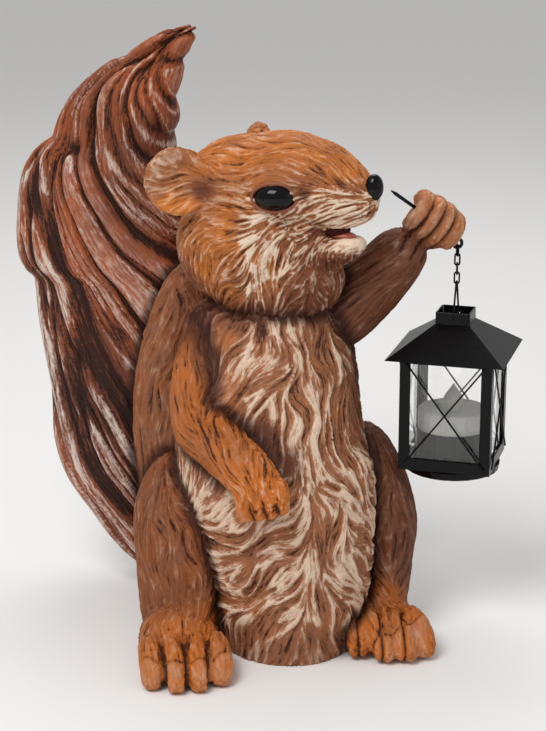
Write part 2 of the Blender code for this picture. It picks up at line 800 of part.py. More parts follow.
def lantern_hook():
    """The rod through the fist: a pointed tip, and an eye that the chain hangs from."""
    straight = [hook_point(HOOK_LENGTH * share) for share in (1, 0.94, 0.5, 0)]
    middle = Vector((LANTERN_X, LANTERN_Y, HOOK_EYE_HEIGHT))
    turns = np.linspace(math.pi / 2 - HOOK_SLOPE, -math.radians(255), 14)[1:]
    ring = [middle + Vector((math.cos(turn), 0, math.sin(turn))) * EYE_RADIUS for turn in turns]
    made = wire("lantern_hook", straight + ring, ROD_DIAMETER)
    tip = straight[0]
    for vertex in made.data.vertices:
        if (vertex.co - tip).length < ROD_DIAMETER:
            vertex.co = tip + (vertex.co - tip) * 0.35
    return made


def chain():
    """Oval wire links, each hanging in the one above and turned across it."""
    for index in range(LINK_COUNT):
        held = WIRE_DIAMETER if index else ROD_DIAMETER
        half_width = held / 2 + WIRE_DIAMETER / 2 + HANG_GAP
        middle = Vector((LANTERN_X, LANTERN_Y, highest_link() - index * link_drop()))
        yaw = math.pi / 2 * (index + 1) + LANTERN_TURN * (index + 1) / (LINK_COUNT + 1)
        side = Vector((math.cos(yaw), math.sin(yaw), 0))
        straight = link_reach() - half_width
        points = []
        for turn in np.linspace(0, 2 * math.pi, 10, endpoint=False) + math.pi / 10:
            rise = math.sin(turn) * half_width + math.copysign(straight, math.sin(turn))
            points.append(middle + side * math.cos(turn) * half_width + Vector((0, 0, rise)))
        wire(f"chain_link_{index + 1}", points, WIRE_DIAMETER, closed=True, bevel_resolution=1)


def bail(axis):
    """A bent wire that stands on the collar, its feet hooked out through two holes."""
    collar_top = EAVE_HEIGHT + ROOF_RISE + COLLAR_HEIGHT
    hole = collar_top - BAIL_HOLE_DROP
    wall = COLLAR_WIDTH / 2
    inside = wall - SHEET - WIRE_DIAMETER / 2 - FIT_GAP
    apex = apex_rise()
    bend = WIRE_DIAMETER
    half = [
        (0, wall + WIRE_DIAMETER, hole),
        (0, inside + bend / 3, hole),
        (0, inside, hole + bend / 2),
        (0, inside - 0.0004, hole + 2 * bend),
        (0, 1.2 * bend, apex - bend),
        (0, 0.5 * bend, apex - 0.2 * bend),
    ]
    points = [(x, -y, z) for x, y, z in half] + [(0, 0, apex)] + half[::-1]
    return wire("lantern_bail", points, WIRE_DIAMETER, parent=axis)


def frustum(half_low, half_high, low, high):
    """A square frustum, closed, between two heights."""
    bm = bmesh.new()
    middle = (low + high) / 2
    bmesh.ops.create_cone(
        bm,
        cap_ends=True,
        segments=4,
        radius1=half_low * math.sqrt(2),
        radius2=half_high * math.sqrt(2),
        depth=high - low,
        matrix=Matrix.Translation((0, 0, middle)) @ Matrix.Rotation(math.pi / 4, 4, "Z"),
    )
    return mesh_of(bm, "frustum")


def roof_slope():
    """How much the roof rises for each metre inwards."""
    return ROOF_RISE / ((EAVE_WIDTH - COLLAR_WIDTH) / 2)


def roof(axis):
    """A roof of bent sheet, open under the collar so that the heat gets out."""
    eave, collar = EAVE_WIDTH / 2, COLLAR_WIDTH / 2
    slope = roof_slope()
    top = EAVE_HEIGHT + ROOF_RISE
    made = new_object("lantern_roof", frustum(eave, collar, EAVE_HEIGHT, top), BLACK_STEEL, axis)
    fall = SHEET / math.cos(math.atan(slope))
    beyond = 0.002
    low = EAVE_HEIGHT - fall - beyond * slope
    mouth = collar - SHEET
    high = top - fall + SHEET * slope
    boolean(made, frustum(eave + beyond, mouth, low, high), parent=axis)
    boolean(made, box((2 * mouth, 2 * mouth, 4 * ROOF_RISE), (0, 0, top)), parent=axis)
    return made


def collar(axis):
    """Four upright tabs at the top of the roof, slit at the corners and holed for the bail."""
    foot = EAVE_HEIGHT + ROOF_RISE + FIT_GAP
    height = COLLAR_HEIGHT - FIT_GAP
    middle = foot + height / 2
    made = new_object("roof_collar", box((COLLAR_WIDTH, COLLAR_WIDTH, height), (0, 0, middle)), BLACK_STEEL, axis)
    inner = COLLAR_WIDTH - 2 * SHEET
    boolean(made, box((inner, inner, 2 * height), (0, 0, middle)), parent=axis)
    hole = rod(WIRE_DIAMETER / 2 + FIT_GAP, 2 * COLLAR_WIDTH, 8, Matrix.Rotation(math.pi / 2, 4, "X"))
    tool = boolean(made, hole, parent=axis)
    tool.location.z = foot + height - BAIL_HOLE_DROP
    for turn in (45, 135):
        slit = new_object("slit_shape", box((2 * COLLAR_WIDTH, COLLAR_SLIT, height), (0, 0, 0)))
        slit_mesh = slit.data
        bpy.data.objects.remove(slit)
        slit_mesh.transform(Matrix.Rotation(math.radians(turn), 4, "Z"))
        tool = boolean(made, slit_mesh, parent=axis)
        tool.location.z = middle + height / 4
    return made


def frame_top():
    """Height of the frame's top edge, just under the roof's sheet."""
    sheet = SHEET / math.cos(math.atan(roof_slope()))
    return EAVE_HEIGHT + (EAVE_WIDTH - LANTERN_WIDTH) / 2 * roof_slope() - sheet - FIT_GAP


def frame(axis):
    """The lantern's square frame: corner posts and rails of sheet, and a narrow seat below."""
    top = frame_top()
    made = new_object("lantern_frame", box((LANTERN_WIDTH, LANTERN_WIDTH, top), (0, 0, top / 2)), BLACK_STEEL, axis)
    inner = LANTERN_WIDTH - 2 * SHEET
    boolean(made, box((inner, inner, top), (0, 0, top / 2 + SHEET)), parent=axis)
    mouth = inner - 2 * SEAT_WIDTH
    boolean(made, box((mouth, mouth, top), (0, 0, 0)), parent=axis)
    window = LANTERN_WIDTH - 2 * POST_WIDTH
    height = WINDOW_TOP - LOWER_RAIL
    middle = LOWER_RAIL + height / 2
    boolean(made, box((2 * LANTERN_WIDTH, window, height), (0, 0, middle)), parent=axis)
    boolean(made, box((window, 2 * LANTERN_WIDTH, height), (0, 0, middle)), parent=axis)
    return made


def sides():
    """The lantern's four sides: a name, and how far each is turned from the front."""
    return [(name, index * math.pi / 2) for index, name in enumerate(("front", "right", "back", "left"))]


def panes(axis):
    """Four glass panes that stand on the seat behind the windows."""
    foot = SHEET + FIT_GAP
    face = LANTERN_WIDTH / 2 - SHEET - FIT_GAP
    width = 2 * (face - GLASS_THICKNESS - FIT_GAP)
    height = frame_top() - foot
    for name, turn in sides():
        place = (0, -(face - GLASS_THICKNESS / 2), foot + height / 2)
        pane = new_object(f"glass_{name}", box((width, GLASS_THICKNESS, height), place), CLEAR_GLASS, axis)
        pane.rotation_euler.z = turn


def braces(axis):
    """Two crossed wires on each side, from the lower corners of the frame to the upper."""
    face = LANTERN_WIDTH / 2 + FIT_GAP + WIRE_DIAMETER / 2
    low = LOWER_RAIL / 2
    high = EAVE_HEIGHT - WIRE_DIAMETER
    half = LANTERN_WIDTH / 2 - POST_WIDTH / 2
    middle = Matrix.Translation((0, -face, (low + high) / 2))
    length = math.hypot(2 * half, high - low)
    lean = math.atan2(half, (high - low) / 2)
    for name, turn in sides():
        spin = Matrix.Rotation(turn, 4, "Z") @ middle
        strokes = [rod(WIRE_DIAMETER / 2, length, 6, spin @ Matrix.Rotation(way * lean, 4, "Y")) for way in (1, -1)]
        made = new_object(f"cross_wires_{name}", strokes[0], BLACK_STEEL, axis)
        boolean(made, strokes[1], "UNION", parent=axis)


def turned(name, profile, finish, axis, segments=ROUND_SEGMENTS):
    """A turned piece from its profile, listed from the middle of its top, down its outside."""
    mesh = bpy.data.meshes.new(name)
    bm = bmesh.new()
    spots = [bm.verts.new((radius, 0, height)) for radius, height in profile]
    for start, end in zip(spots, spots[1:]):
        bm.edges.new((start, end))
    bm.to_mesh(mesh)
    bm.free()
    made = new_object(name, mesh, finish, axis)
    spin = made.modifiers.new("turned", "SCREW")
    spin.steps = segments
    spin.render_steps = segments
    spin.use_merge_vertices = True
    spin.merge_threshold = 0.00002
    spin.use_smooth_shade = True
    return made


def cup_radius():
    """Outer radius of the candle cup, as wide as the panes leave room for."""
    return LANTERN_WIDTH / 2 - SHEET - GLASS_THICKNESS - 10 * FIT_GAP


def lantern_base(axis):
    """A round dish under the frame, with a candle cup on a short neck."""
    rim = BASE_RADIUS
    floor = -BASE_DEPTH
    wall = CUP_WALL
    cup = cup_radius()
    profile = [
        (0, CUP_FLOOR + wall),
        (cup - wall, CUP_FLOOR + wall),
        (cup - wall, CUP_RIM),
        (cup, CUP_RIM),
        (cup, CUP_FLOOR + wall / 2),
        (cup - wall, CUP_FLOOR),
        (NECK_RADIUS, CUP_FLOOR),
        (NECK_RADIUS, floor + wall),
        (rim - 2 * wall, floor + wall),
        (rim - wall, -FIT_GAP),
        (rim, -FIT_GAP),
        (rim - wall, floor + wall / 2),
        (rim - 2 * wall, floor),
        (0, floor),
    ]
    return turned("lantern_base", profile, BLACK_STEEL, axis)


def tealight(axis):
    """An electric tealight: a low round body with a shallow well, and its flame."""
    radius = cup_radius() - CUP_WALL - FIT_GAP
    foot = CUP_FLOOR + CUP_WALL + FIT_GAP
    top = foot + TEALIGHT_HEIGHT
    round_off = 0.0010
    body = [
        (0, top - WICK_WELL),
        (FLAME_RADIUS + round_off, top - WICK_WELL),
        (radius - 3 * round_off, top - round_off / 2),
        (radius - 2 * round_off, top),
        (radius - round_off / 2, top - round_off / 3),
        (radius, top - round_off),
        (radius, foot),
        (0, foot),
    ]
    turned("tealight_body", body, CANDLE_WHITE, axis)
    rise = top - WICK_WELL + FIT_GAP
    flame = [(0, rise + FLAME_HEIGHT)]
    for share in (0.25, 0.4, 0.55, 0.7, 0.85):
        width = FLAME_RADIUS * math.sin(math.pi * share**1.5) ** 0.8
        flame.append((width, rise + FLAME_HEIGHT * (1 - share)))
    flame += [(FLAME_RADIUS * 0.62, rise), (0, rise)]
    turned("tealight_flame", flame, CANDLE_WHITE, axis, FLAME_SEGMENTS)


def main():
    """Builds the figure and the lantern."""
    remove_everything()
    collection("squirrel_statue")
    collection("cutters")
    squirrel()
    lantern_hook()
    chain()
    axis = new_object("lantern_axis", None, place=(LANTERN_X, LANTERN_Y, lantern_height()))
    axis.rotation_euler.z = LANTERN_TURN
    for build in (bail, roof, collar, frame, panes, braces, lantern_base, tealight):
        build(axis)


main()
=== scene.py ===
"""Looks of a cast and painted garden squirrel that holds up a small tealight lantern.

The figure is built again from the same masses as the solid one, finer, and its fur is
carved along the way it lies. The lantern keeps its solids where they are and gets its
paint, glass and plastic. Sizes of the figure are in millimetres; the scene is in metres.
"""

import itertools
import logging
import math
from collections.abc import Callable, Iterator, Sequence
from dataclasses import dataclass, field

import bpy
import numpy as np
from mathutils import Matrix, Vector
from mathutils.bvhtree import BVHTree


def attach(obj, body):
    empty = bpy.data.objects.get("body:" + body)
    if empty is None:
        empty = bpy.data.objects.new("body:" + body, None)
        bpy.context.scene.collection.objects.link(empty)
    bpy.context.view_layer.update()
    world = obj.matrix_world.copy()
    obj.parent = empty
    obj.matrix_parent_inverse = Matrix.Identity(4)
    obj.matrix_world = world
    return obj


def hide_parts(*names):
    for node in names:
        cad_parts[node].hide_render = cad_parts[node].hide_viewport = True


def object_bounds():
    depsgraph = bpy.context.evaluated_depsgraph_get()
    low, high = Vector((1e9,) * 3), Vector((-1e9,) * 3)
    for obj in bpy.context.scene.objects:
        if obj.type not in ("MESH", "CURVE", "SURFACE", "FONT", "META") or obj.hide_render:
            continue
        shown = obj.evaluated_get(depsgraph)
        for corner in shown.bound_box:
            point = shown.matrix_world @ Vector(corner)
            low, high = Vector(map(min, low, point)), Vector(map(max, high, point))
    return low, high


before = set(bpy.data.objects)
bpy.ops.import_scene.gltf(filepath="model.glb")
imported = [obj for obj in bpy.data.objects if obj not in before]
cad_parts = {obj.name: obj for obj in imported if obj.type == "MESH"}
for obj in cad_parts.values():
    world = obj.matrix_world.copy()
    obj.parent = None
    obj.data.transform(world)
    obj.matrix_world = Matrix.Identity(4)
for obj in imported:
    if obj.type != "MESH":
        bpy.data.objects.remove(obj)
CAD_BOX = [list(corner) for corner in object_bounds()]

LOG = logging.getLogger("squirrel")
MM = 0.001
UP = np.array([0.0, 0.0, 1.0])
SEED = 7
# Numbers of the two colour inputs and the colour output of Blender's Mix node
MIX_A, MIX_B, MIX_RESULT = 6, 7, 2

Rows = Sequence[Sequence[float]]
Point = tuple[float, float, float]


def linear(code: str) -> tuple[float, float, float, float]:
    """Turns an sRGB hex colour into linear red, green, blue and alpha.

    Args:
        code: Six hex digits, with or without a hash in front.

    Returns:
        The linear colour that shader sockets take.
    """
    digits = code.lstrip("#")
    channels = [int(digits[start : start + 2], 16) / 255 for start in (0, 2, 4)]
    low = [channel / 12.92 for channel in channels]
    high = [((channel + 0.055) / 1.055) ** 2.4 for channel in channels]
    red, green, blue = (a if channel <= 0.04045 else b for channel, a, b in zip(channels, low, high))
    return (red, green, blue, 1.0)


def unit(rows: np.ndarray) -> np.ndarray:
    """Returns each row at length one."""
    return rows / np.maximum(np.linalg.norm(rows, axis=-1, keepdims=True), 1e-9)


def smooth_step(value: np.ndarray, low: float, high: float) -> np.ndarray:
    """Returns 0 below low, 1 above high and a soft rise between."""
    share = np.clip((value - low) / (high - low), 0, 1)
    return share * share * (3 - 2 * share)


def along_skin(ways: np.ndarray, normals: np.ndarray) -> np.ndarray:
    """Returns directions laid flat on a skin, each at length one."""
    return unit(ways - normals * np.sum(ways * normals, axis=1, keepdims=True))


def corner_shares(part: np.ndarray) -> Iterator[tuple[tuple[int, ...], np.ndarray]]:
    """Goes round the corners of a cell, to blend between them.

    Args:
        part: Rows of places within the cell, from 0 to 1 along each axis.

    Yields:
        Each corner, as 0 or 1 along each axis, and its share at each place.
    """
    for corner in itertools.product((0, 1), repeat=3):
        yield corner, np.prod([part[:, n] if corner[n] else 1 - part[:, n] for n in range(3)], axis=0)


class Modeller:
    """The few steps by which every new piece is made from primitives."""

    @staticmethod
    def deselect() -> None:
        """Leaves object mode with nothing selected."""
        if bpy.context.object and bpy.context.object.mode != "OBJECT":
            bpy.ops.object.mode_set(mode="OBJECT")
        bpy.ops.object.select_all(action="DESELECT")

    @staticmethod
    def choose(thing: bpy.types.Object) -> bpy.types.Object:
        """Selects one object alone and makes it active.

        Args:
            thing: The object.

        Returns:
            The same object.
        """
        Modeller.deselect()
        thing.select_set(True)
        bpy.context.view_layer.objects.active = thing
        return thing

    @staticmethod
    def sphere(segments: int, rings: int) -> bpy.types.Object:
        """Adds a sphere of radius 1 at the origin, to be shaped.

        Args:
            segments: Its segments round the upright axis.
            rings: Its rings from pole to pole.

        Returns:
            The sphere.
        """
        Modeller.deselect()
        bpy.ops.mesh.primitive_uv_sphere_add(segments=segments, ring_count=rings, radius=1)
        return bpy.context.object

    @staticmethod
    def points(thing: bpy.types.Object) -> np.ndarray:
        """Reads a mesh's points.

        Args:
            thing: The mesh object.

        Returns:
            One row for each point, in the mesh's own unit.
        """
        flat = np.empty(len(thing.data.vertices) * 3, np.float32)
        thing.data.vertices.foreach_get("co", flat)
        return flat.reshape(-1, 3).astype(float)

    @staticmethod
    def place(thing: bpy.types.Object, points: np.ndarray) -> None:
        """Moves a mesh's points to rows in metres."""
        thing.data.vertices.foreach_set("co", points.astype(np.float32).ravel())
        thing.data.update()

    @staticmethod
    def normals(thing: bpy.types.Object) -> np.ndarray:
        """Reads the way the skin faces at each of a mesh's points.

        Args:
            thing: The mesh object.

        Returns:
            One unit row for each point.
        """
        flat = np.empty(len(thing.data.vertices) * 3, np.float32)
        thing.data.vertex_normals.foreach_get("vector", flat)
        return flat.reshape(-1, 3).astype(float)

    @staticmethod
    def outward(thing: bpy.types.Object) -> None:
        """Turns all of a closed mesh's faces outwards.

        Args:
            thing: The mesh object.
        """
        Modeller.choose(thing)
        bpy.ops.object.mode_set(mode="EDIT")
        bpy.ops.mesh.select_all(action="SELECT")
        bpy.ops.mesh.normals_make_consistent(inside=False)
        bpy.ops.object.mode_set(mode="OBJECT")

    @staticmethod
    def apply(thing: bpy.types.Object, kind: str, **settings: object) -> None:
        """Adds a modifier with its settings and applies it.

        Args:
            thing: The object that is changed.
            kind: Blender's name for the modifier.
            settings: The modifier's values.
        """
        Modeller.choose(thing)
        modifier = thing.modifiers.new(kind.lower(), kind)
        for name, value in settings.items():
            setattr(modifier, name, value)
        bpy.ops.object.modifier_apply(modifier=modifier.name)

    @staticmethod
    def join(things: Sequence[bpy.types.Object], name: str) -> bpy.types.Object:
        """Joins objects into the first.

        Args:
            things: The mesh objects.
            name: The name of the result.

        Returns:
            The first object, which now holds them all.
        """
        Modeller.deselect()
        for thing in things:
            thing.select_set(True)
        bpy.context.view_layer.objects.active = things[0]
        bpy.ops.object.join()
        things[0].name = name
        things[0].data.name = name
        return things[0]

    @staticmethod
    def melt(
        things: Sequence[bpy.types.Object], name: str, voxel: float, rounds: int, levels: int = 0
    ) -> bpy.types.Object:
        """Melts closed masses into one skin.

        Args:
            things: The masses, which cross each other.
            name: The name of the result.
            voxel: The remesh's voxel in millimetres.
            rounds: How often the skin is smoothed.
            levels: How often its faces are divided afterwards.

        Returns:
            One closed mesh object.
        """
        skin = Modeller.join(things, name)
        Modeller.apply(skin, "REMESH", mode="VOXEL", voxel_size=voxel * MM)
        if rounds:
            Modeller.apply(skin, "SMOOTH", iterations=rounds)
        if levels:
            Modeller.apply(skin, "SUBSURF", levels=levels, render_levels=levels)
        return skin

    @staticmethod
    def smooth(thing: bpy.types.Object) -> None:
        """Shades a piece smooth."""
        Modeller.choose(thing)
        bpy.ops.object.shade_smooth()


@dataclass(frozen=True)
class Spine:
    """A table of places with half sizes across and through, and the mass drawn along it.

    Attributes:
        rows: x, y, z, half size across and half size through, in millimetres.
        side: The direction that is across.
        level: Whether across stays level where the spine leans.
        full: How full the two ends are; higher is blunter.
    """

    rows: Rows
    side: Point
    level: bool = False
    full: float = 5.0

    def along(self, share: np.ndarray) -> np.ndarray:
        """Follows a smooth curve through the table's rows.

        Args:
            share: Shares of the spine's length, from 0 to 1.

        Returns:
            A row like the table's for each share.
        """
        rows = np.asarray(self.rows, float)
        padded = np.vstack([2 * rows[0] - rows[1], rows, 2 * rows[-1] - rows[-2]])
        place = np.clip(share, 0, 1) * (len(rows) - 1)
        index = np.minimum(place.astype(int), len(rows) - 2)
        t = (place - index)[:, None]
        a, b, c, d = (padded[index + k] for k in range(4))
        cubic = 3 * b - a - 3 * c + d
        square = 2 * a - 5 * b + 4 * c - d
        return 0.5 * (2 * b + (c - a) * t + square * t**2 + cubic * t**3)

    def heading(self, share: np.ndarray) -> np.ndarray:
        """Returns which way the spine runs at shares of its length."""
        step = 0.01
        return unit((self.along(share + step) - self.along(share - step))[:, :3])

    def mass(self, rings: int | None = None, segments: int = 32) -> bpy.types.Object:
        """Draws a sphere out along the spine.

        Args:
            rings: Rings of the sphere; by default enough for each row.
            segments: Segments round it.

        Returns:
            The closed mass, in metres.
        """
        thing = Modeller.sphere(segments, rings or 10 + 6 * len(self.rows))
        ball = Modeller.points(thing)
        share = (1 - ball[:, 2]) / 2
        rows = self.along(share)
        forward = self.heading(share)
        side = np.broadcast_to(np.asarray(self.side, float), forward.shape)
        leaning = np.sum(forward * side, axis=1, keepdims=True)
        across = side if self.level else unit(side - forward * leaning)
        through = unit(np.cross(forward, across))
        ring = np.maximum(1e-9, np.hypot(ball[:, 0], ball[:, 1]))
        fill = np.maximum(0, 1 - np.abs(ball[:, 2]) ** self.full) ** (1 / self.full)
        reach_across = rows[:, 3] * fill * ball[:, 0] / ring
        reach_through = rows[:, 4] * fill * ball[:, 1] / ring
        points = rows[:, :3] + across * reach_across[:, None] + through * reach_through[:, None]
        Modeller.place(thing, points * MM)
        Modeller.outward(thing)
        return thing


def ellipsoid(
    place: Sequence[float], half: Sequence[float], axes: Sequence[Sequence[float]]
) -> bpy.types.Object:
    """Makes a sphere with half sizes along three axes.

    Args:
        place: Its middle in millimetres.
        half: Its three half sizes in millimetres.
        axes: Its three unit axes.

    Returns:
        The closed mass, in metres.
    """
    return shaped_ball(place, axes, lambda ball: ball * np.asarray(half, float))


def shaped_ball(
    place: Sequence[float], axes: Sequence[Sequence[float]], shape: Callable[[np.ndarray], np.ndarray]
) -> bpy.types.Object:
    """Makes a sphere whose points a rule shapes.

    Args:
        place: Its middle in millimetres.
        axes: Its three unit axes.
        shape: Turns points of the unit sphere into millimetres along the axes.

    Returns:
        The closed mass, in metres.
    """
    thing = Modeller.sphere(40, 28)
    ball = Modeller.points(thing)
    points = np.asarray(place, float) + shape(ball) @ np.array(axes, float)
    Modeller.place(thing, points * MM)
    Modeller.outward(thing)
    return thing


class Noise:
    """Smooth seeded noise: a random number at each whole place, blended between."""

    SIDE = 32

    def __init__(self, seed: int) -> None:
        """Draws the numbers, which repeat every SIDE units along each axis."""
        self.numbers = np.random.default_rng(seed).uniform(-1, 1, (self.SIDE,) * 3)

    def at(self, points: np.ndarray) -> np.ndarray:
        """Blends the numbers, with a grain one unit wide.

        Args:
            points: Rows of places.

        Returns:
            A value from -1 to 1 for each place.
        """
        base = np.floor(points).astype(int)
        part = points - base
        part = part * part * (3 - 2 * part)
        base = base % self.SIDE
        after = (base + 1) % self.SIDE
        total = np.zeros(len(points))
        for corner, share in corner_shares(part):
            i, j, k = (after[:, n] if corner[n] else base[:, n] for n in range(3))
            total += share * self.numbers[i, j, k]
        return total


@dataclass(frozen=True)
class Fur:
    """How the fur of one region is carved and painted.

    Attributes:
        depth: From groove to ridge, in millimetres.
        broad: 0 for fine strands, 1 for broad leaves.
        wave: How far the strands swing from side to side.
        cream: How much cream is dry-brushed on the ridges.
        glow: How much of the coat is bright orange.
        umber_and_shade: How much dark wash lies over the coat, partly real paint, partly painted shade
            under the chin and arms, in corners and in the ears.
    """

    depth: float
    broad: float
    wave: float
    cream: float
    glow: float
    umber_and_shade: float


@dataclass(frozen=True)
class Comb:
    """One stroke of the comb.

    Attributes:
        place: Where it is, in millimetres.
        way: The way the fur lies there.
        reach: How far it counts, in millimetres.
        fur: The fur there.
    """

    place: Point
    way: Point
    reach: float
    fur: Fur


class Coat:
    """The fur's lie and look over a piece, blended from strokes of the comb."""

    # The grid's cell and its margin round the piece, in millimetres
    CELL = 4.0
    MARGIN = 16.0
    # About half the length of the strands' waves in millimetres, and how far noise swings them
    WAVE = 15.0
    SWAY = 2.3
    # How softly a stroke gives way to its neighbours
    SOFT = 0.03
    # Columns of the grid's table
    WAY = slice(0, 3)
    SWING = 3
    DEPTH = 4
    BROAD = 5
    PAINT = slice(6, 9)

    def __init__(self, combs: Sequence[Comb], points: np.ndarray) -> None:
        """Blends the strokes on a grid round the piece.

        Args:
            combs: The strokes.
            points: The piece's points in millimetres, which the grid takes in.
        """
        self.noise = Noise(SEED)
        self.low = points.min(axis=0) - self.MARGIN
        self.counts = np.ceil((points.max(axis=0) + self.MARGIN - self.low) / self.CELL).astype(int) + 1
        axes = [low + self.CELL * np.arange(count) for low, count in zip(self.low, self.counts)]
        grid = np.stack(np.meshgrid(*axes, indexing="ij"), axis=-1).reshape(-1, 3)
        values = np.array(
            [
                (*unit(np.array(comb.way, float)), comb.fur.wave, comb.fur.depth, comb.fur.broad,
                 comb.fur.cream, comb.fur.glow, comb.fur.umber_and_shade)
                for comb in combs
            ]
        )
        total = np.zeros((len(grid), values.shape[1]))
        weight = np.zeros((len(grid), 1))
        for comb, row in zip(combs, values):
            gap = np.linalg.norm(grid - np.array(comb.place), axis=1, keepdims=True) / comb.reach
            share = 1 / (gap**2 + self.SOFT) ** 2
            total += share * row
            weight += share
        self.grid = total / weight
        self.grid[:, self.SWING] *= self.SWAY * self.noise.at(grid / self.WAVE + 5.5)

    def look(self, points: np.ndarray, columns: slice = slice(None)) -> np.ndarray:
        """Blends the grid's table.

        Args:
            points: Rows of places in millimetres.
            columns: Which of the table's columns are wanted.

        Returns:
            A row of those columns for each place.
        """
        place = np.clip((points - self.low) / self.CELL, 0, self.counts - 1.001)
        base = place.astype(int)
        part = place - base
        strides = np.array([self.counts[1] * self.counts[2], self.counts[2], 1])
        first = base @ strides
        table = self.grid[:, columns]
        total = np.zeros((len(points), table.shape[1]))
        for corner, share in corner_shares(part):
            total += share[:, None] * table[first + np.dot(corner, strides)]
        return total

    def lie(self, points: np.ndarray, normals: np.ndarray) -> np.ndarray:
        """Finds which way the fur lies on the skin, with its waves.

        Args:
            points: Rows of places in millimetres.
            normals: The way the skin faces there.

        Returns:
            A unit row for each place.
        """
        look = self.look(points, slice(0, self.DEPTH))
        way = along_skin(look[:, self.WAY], normals)
        swing = look[:, self.SWING]
        return way * np.cos(swing)[:, None] + np.cross(normals, way) * np.sin(swing)[:, None]

    def strands(
        self, points: np.ndarray, normals: np.ndarray, width: float, length: float, shift: float = 0.0
    ) -> np.ndarray:
        """Draws noise out along the fur.

        Args:
            points: Places in millimetres.
            normals: The way the skin faces there.
            width: Width of the noise's grain.
            length: How far a strand reaches each way.
            shift: Which part of the noise is drawn out.

        Returns:
            A value for each place, spread about zero with a deviation of one.
        """
        steps = max(3, round(length / (0.8 * width)))
        total = self.noise.at(points / width + shift)
        for sign in (-1, 1):
            walker = points.copy()
            for step in range(steps):
                walker = walker + sign * length / steps * self.lie(walker, normals)
                total += (1 - 0.5 * step / steps) * self.noise.at(walker / width + shift)
        return total / total.std()


def store(thing: bpy.types.Object, name: str, values: np.ndarray) -> None:
    """Keeps a number or a direction for each of a mesh's points.

    Args:
        thing: The mesh object.
        name: The name that materials read.
        values: One number, or one row of three, for each point.
    """
    if values.ndim == 1:
        layer = thing.data.attributes.new(name, "FLOAT", "POINT")
        layer.data.foreach_set("value", values.astype(np.float32))
    else:
        layer = thing.data.attributes.new(name, "FLOAT_VECTOR", "POINT")
        layer.data.foreach_set("vector", values.astype(np.float32).ravel())


def hollows(thing: bpy.types.Object, rounds: int) -> np.ndarray:
    """Measures how far each point lies in a hollow of the skin.

    Args:
        thing: A closed mesh object.
        rounds: How often the skin is averaged; more finds wider hollows.

    Returns:
        Millimetres below the averaged skin, negative where it stands proud.
    """
    mesh = thing.data
    ends = np.empty(len(mesh.edges) * 2, np.int64)
    mesh.edges.foreach_get("vertices", ends)
    first, second = ends.reshape(-1, 2).T
    count = np.bincount(ends, minlength=len(mesh.vertices)).astype(float)[:, None]
    points = Modeller.points(thing)
    even = points.copy()
    for _ in range(rounds):
        total = np.zeros_like(even)
        for axis in range(3):
            total[:, axis] = np.bincount(first, even[second, axis], len(even))
            total[:, axis] += np.bincount(second, even[first, axis], len(even))
        even = total / np.maximum(count, 1)
    return np.sum((even - points) * Modeller.normals(thing), axis=1) / MM


def table_strokes(spine: Spine, fur: Fur, reach: float = 1.3) -> list[Comb]:
    """Combs a limb from its root to its tip.

    Args:
        spine: The limb's spine.
        fur: Its fur.
        reach: Reach of each stroke as a share of the limb's thickness.

    Returns:
        One stroke for each row of the spine's table.
    """
    ways = spine.heading(np.linspace(0, 1, len(spine.rows)))
    return [
        Comb(tuple(row[:3]), tuple(way), reach * max(row[3:]), fur) for row, way in zip(spine.rows, ways)
    ]


def combed(rows: Sequence[Sequence[object]]) -> list[Comb]:
    """Turns rows of place, way, reach and fur into strokes of the comb."""
    return [Comb(tuple(row[:3]), tuple(row[3:6]), row[6], row[7]) for row in rows]


def add_node(
    tree: bpy.types.NodeTree,
    kind: str,
    settings: dict[str | int, object] | None = None,
    links: dict[str | int, bpy.types.NodeSocket] | None = None,
) -> bpy.types.Node:
    """Adds a node to a material.

    Args:
        tree: The material's nodes.
        kind: Blender's name for the node.
        settings: Values of the node's own properties, or of its inputs by name or number.
        links: The sockets that feed its inputs, by name or number.

    Returns:
        The node.
    """
    node = tree.nodes.new(kind)
    for name, value in (settings or {}).items():
        if isinstance(name, str) and hasattr(node, name):
            setattr(node, name, value)
        else:
            node.inputs[name].default_value = value
    for name, source in (links or {}).items():
        tree.links.new(source, node.inputs[name])
    return node


def blank_material(name: str) -> tuple[bpy.types.Material, bpy.types.NodeTree, bpy.types.Node]:
    """Starts a material.

    Args:
        name: Its name.

    Returns:
        The material, its nodes and its Principled shader.
    """
    material = bpy.data.materials.new(name)
    material.use_nodes = True
    return material, material.node_tree, material.node_tree.nodes["Principled BSDF"]


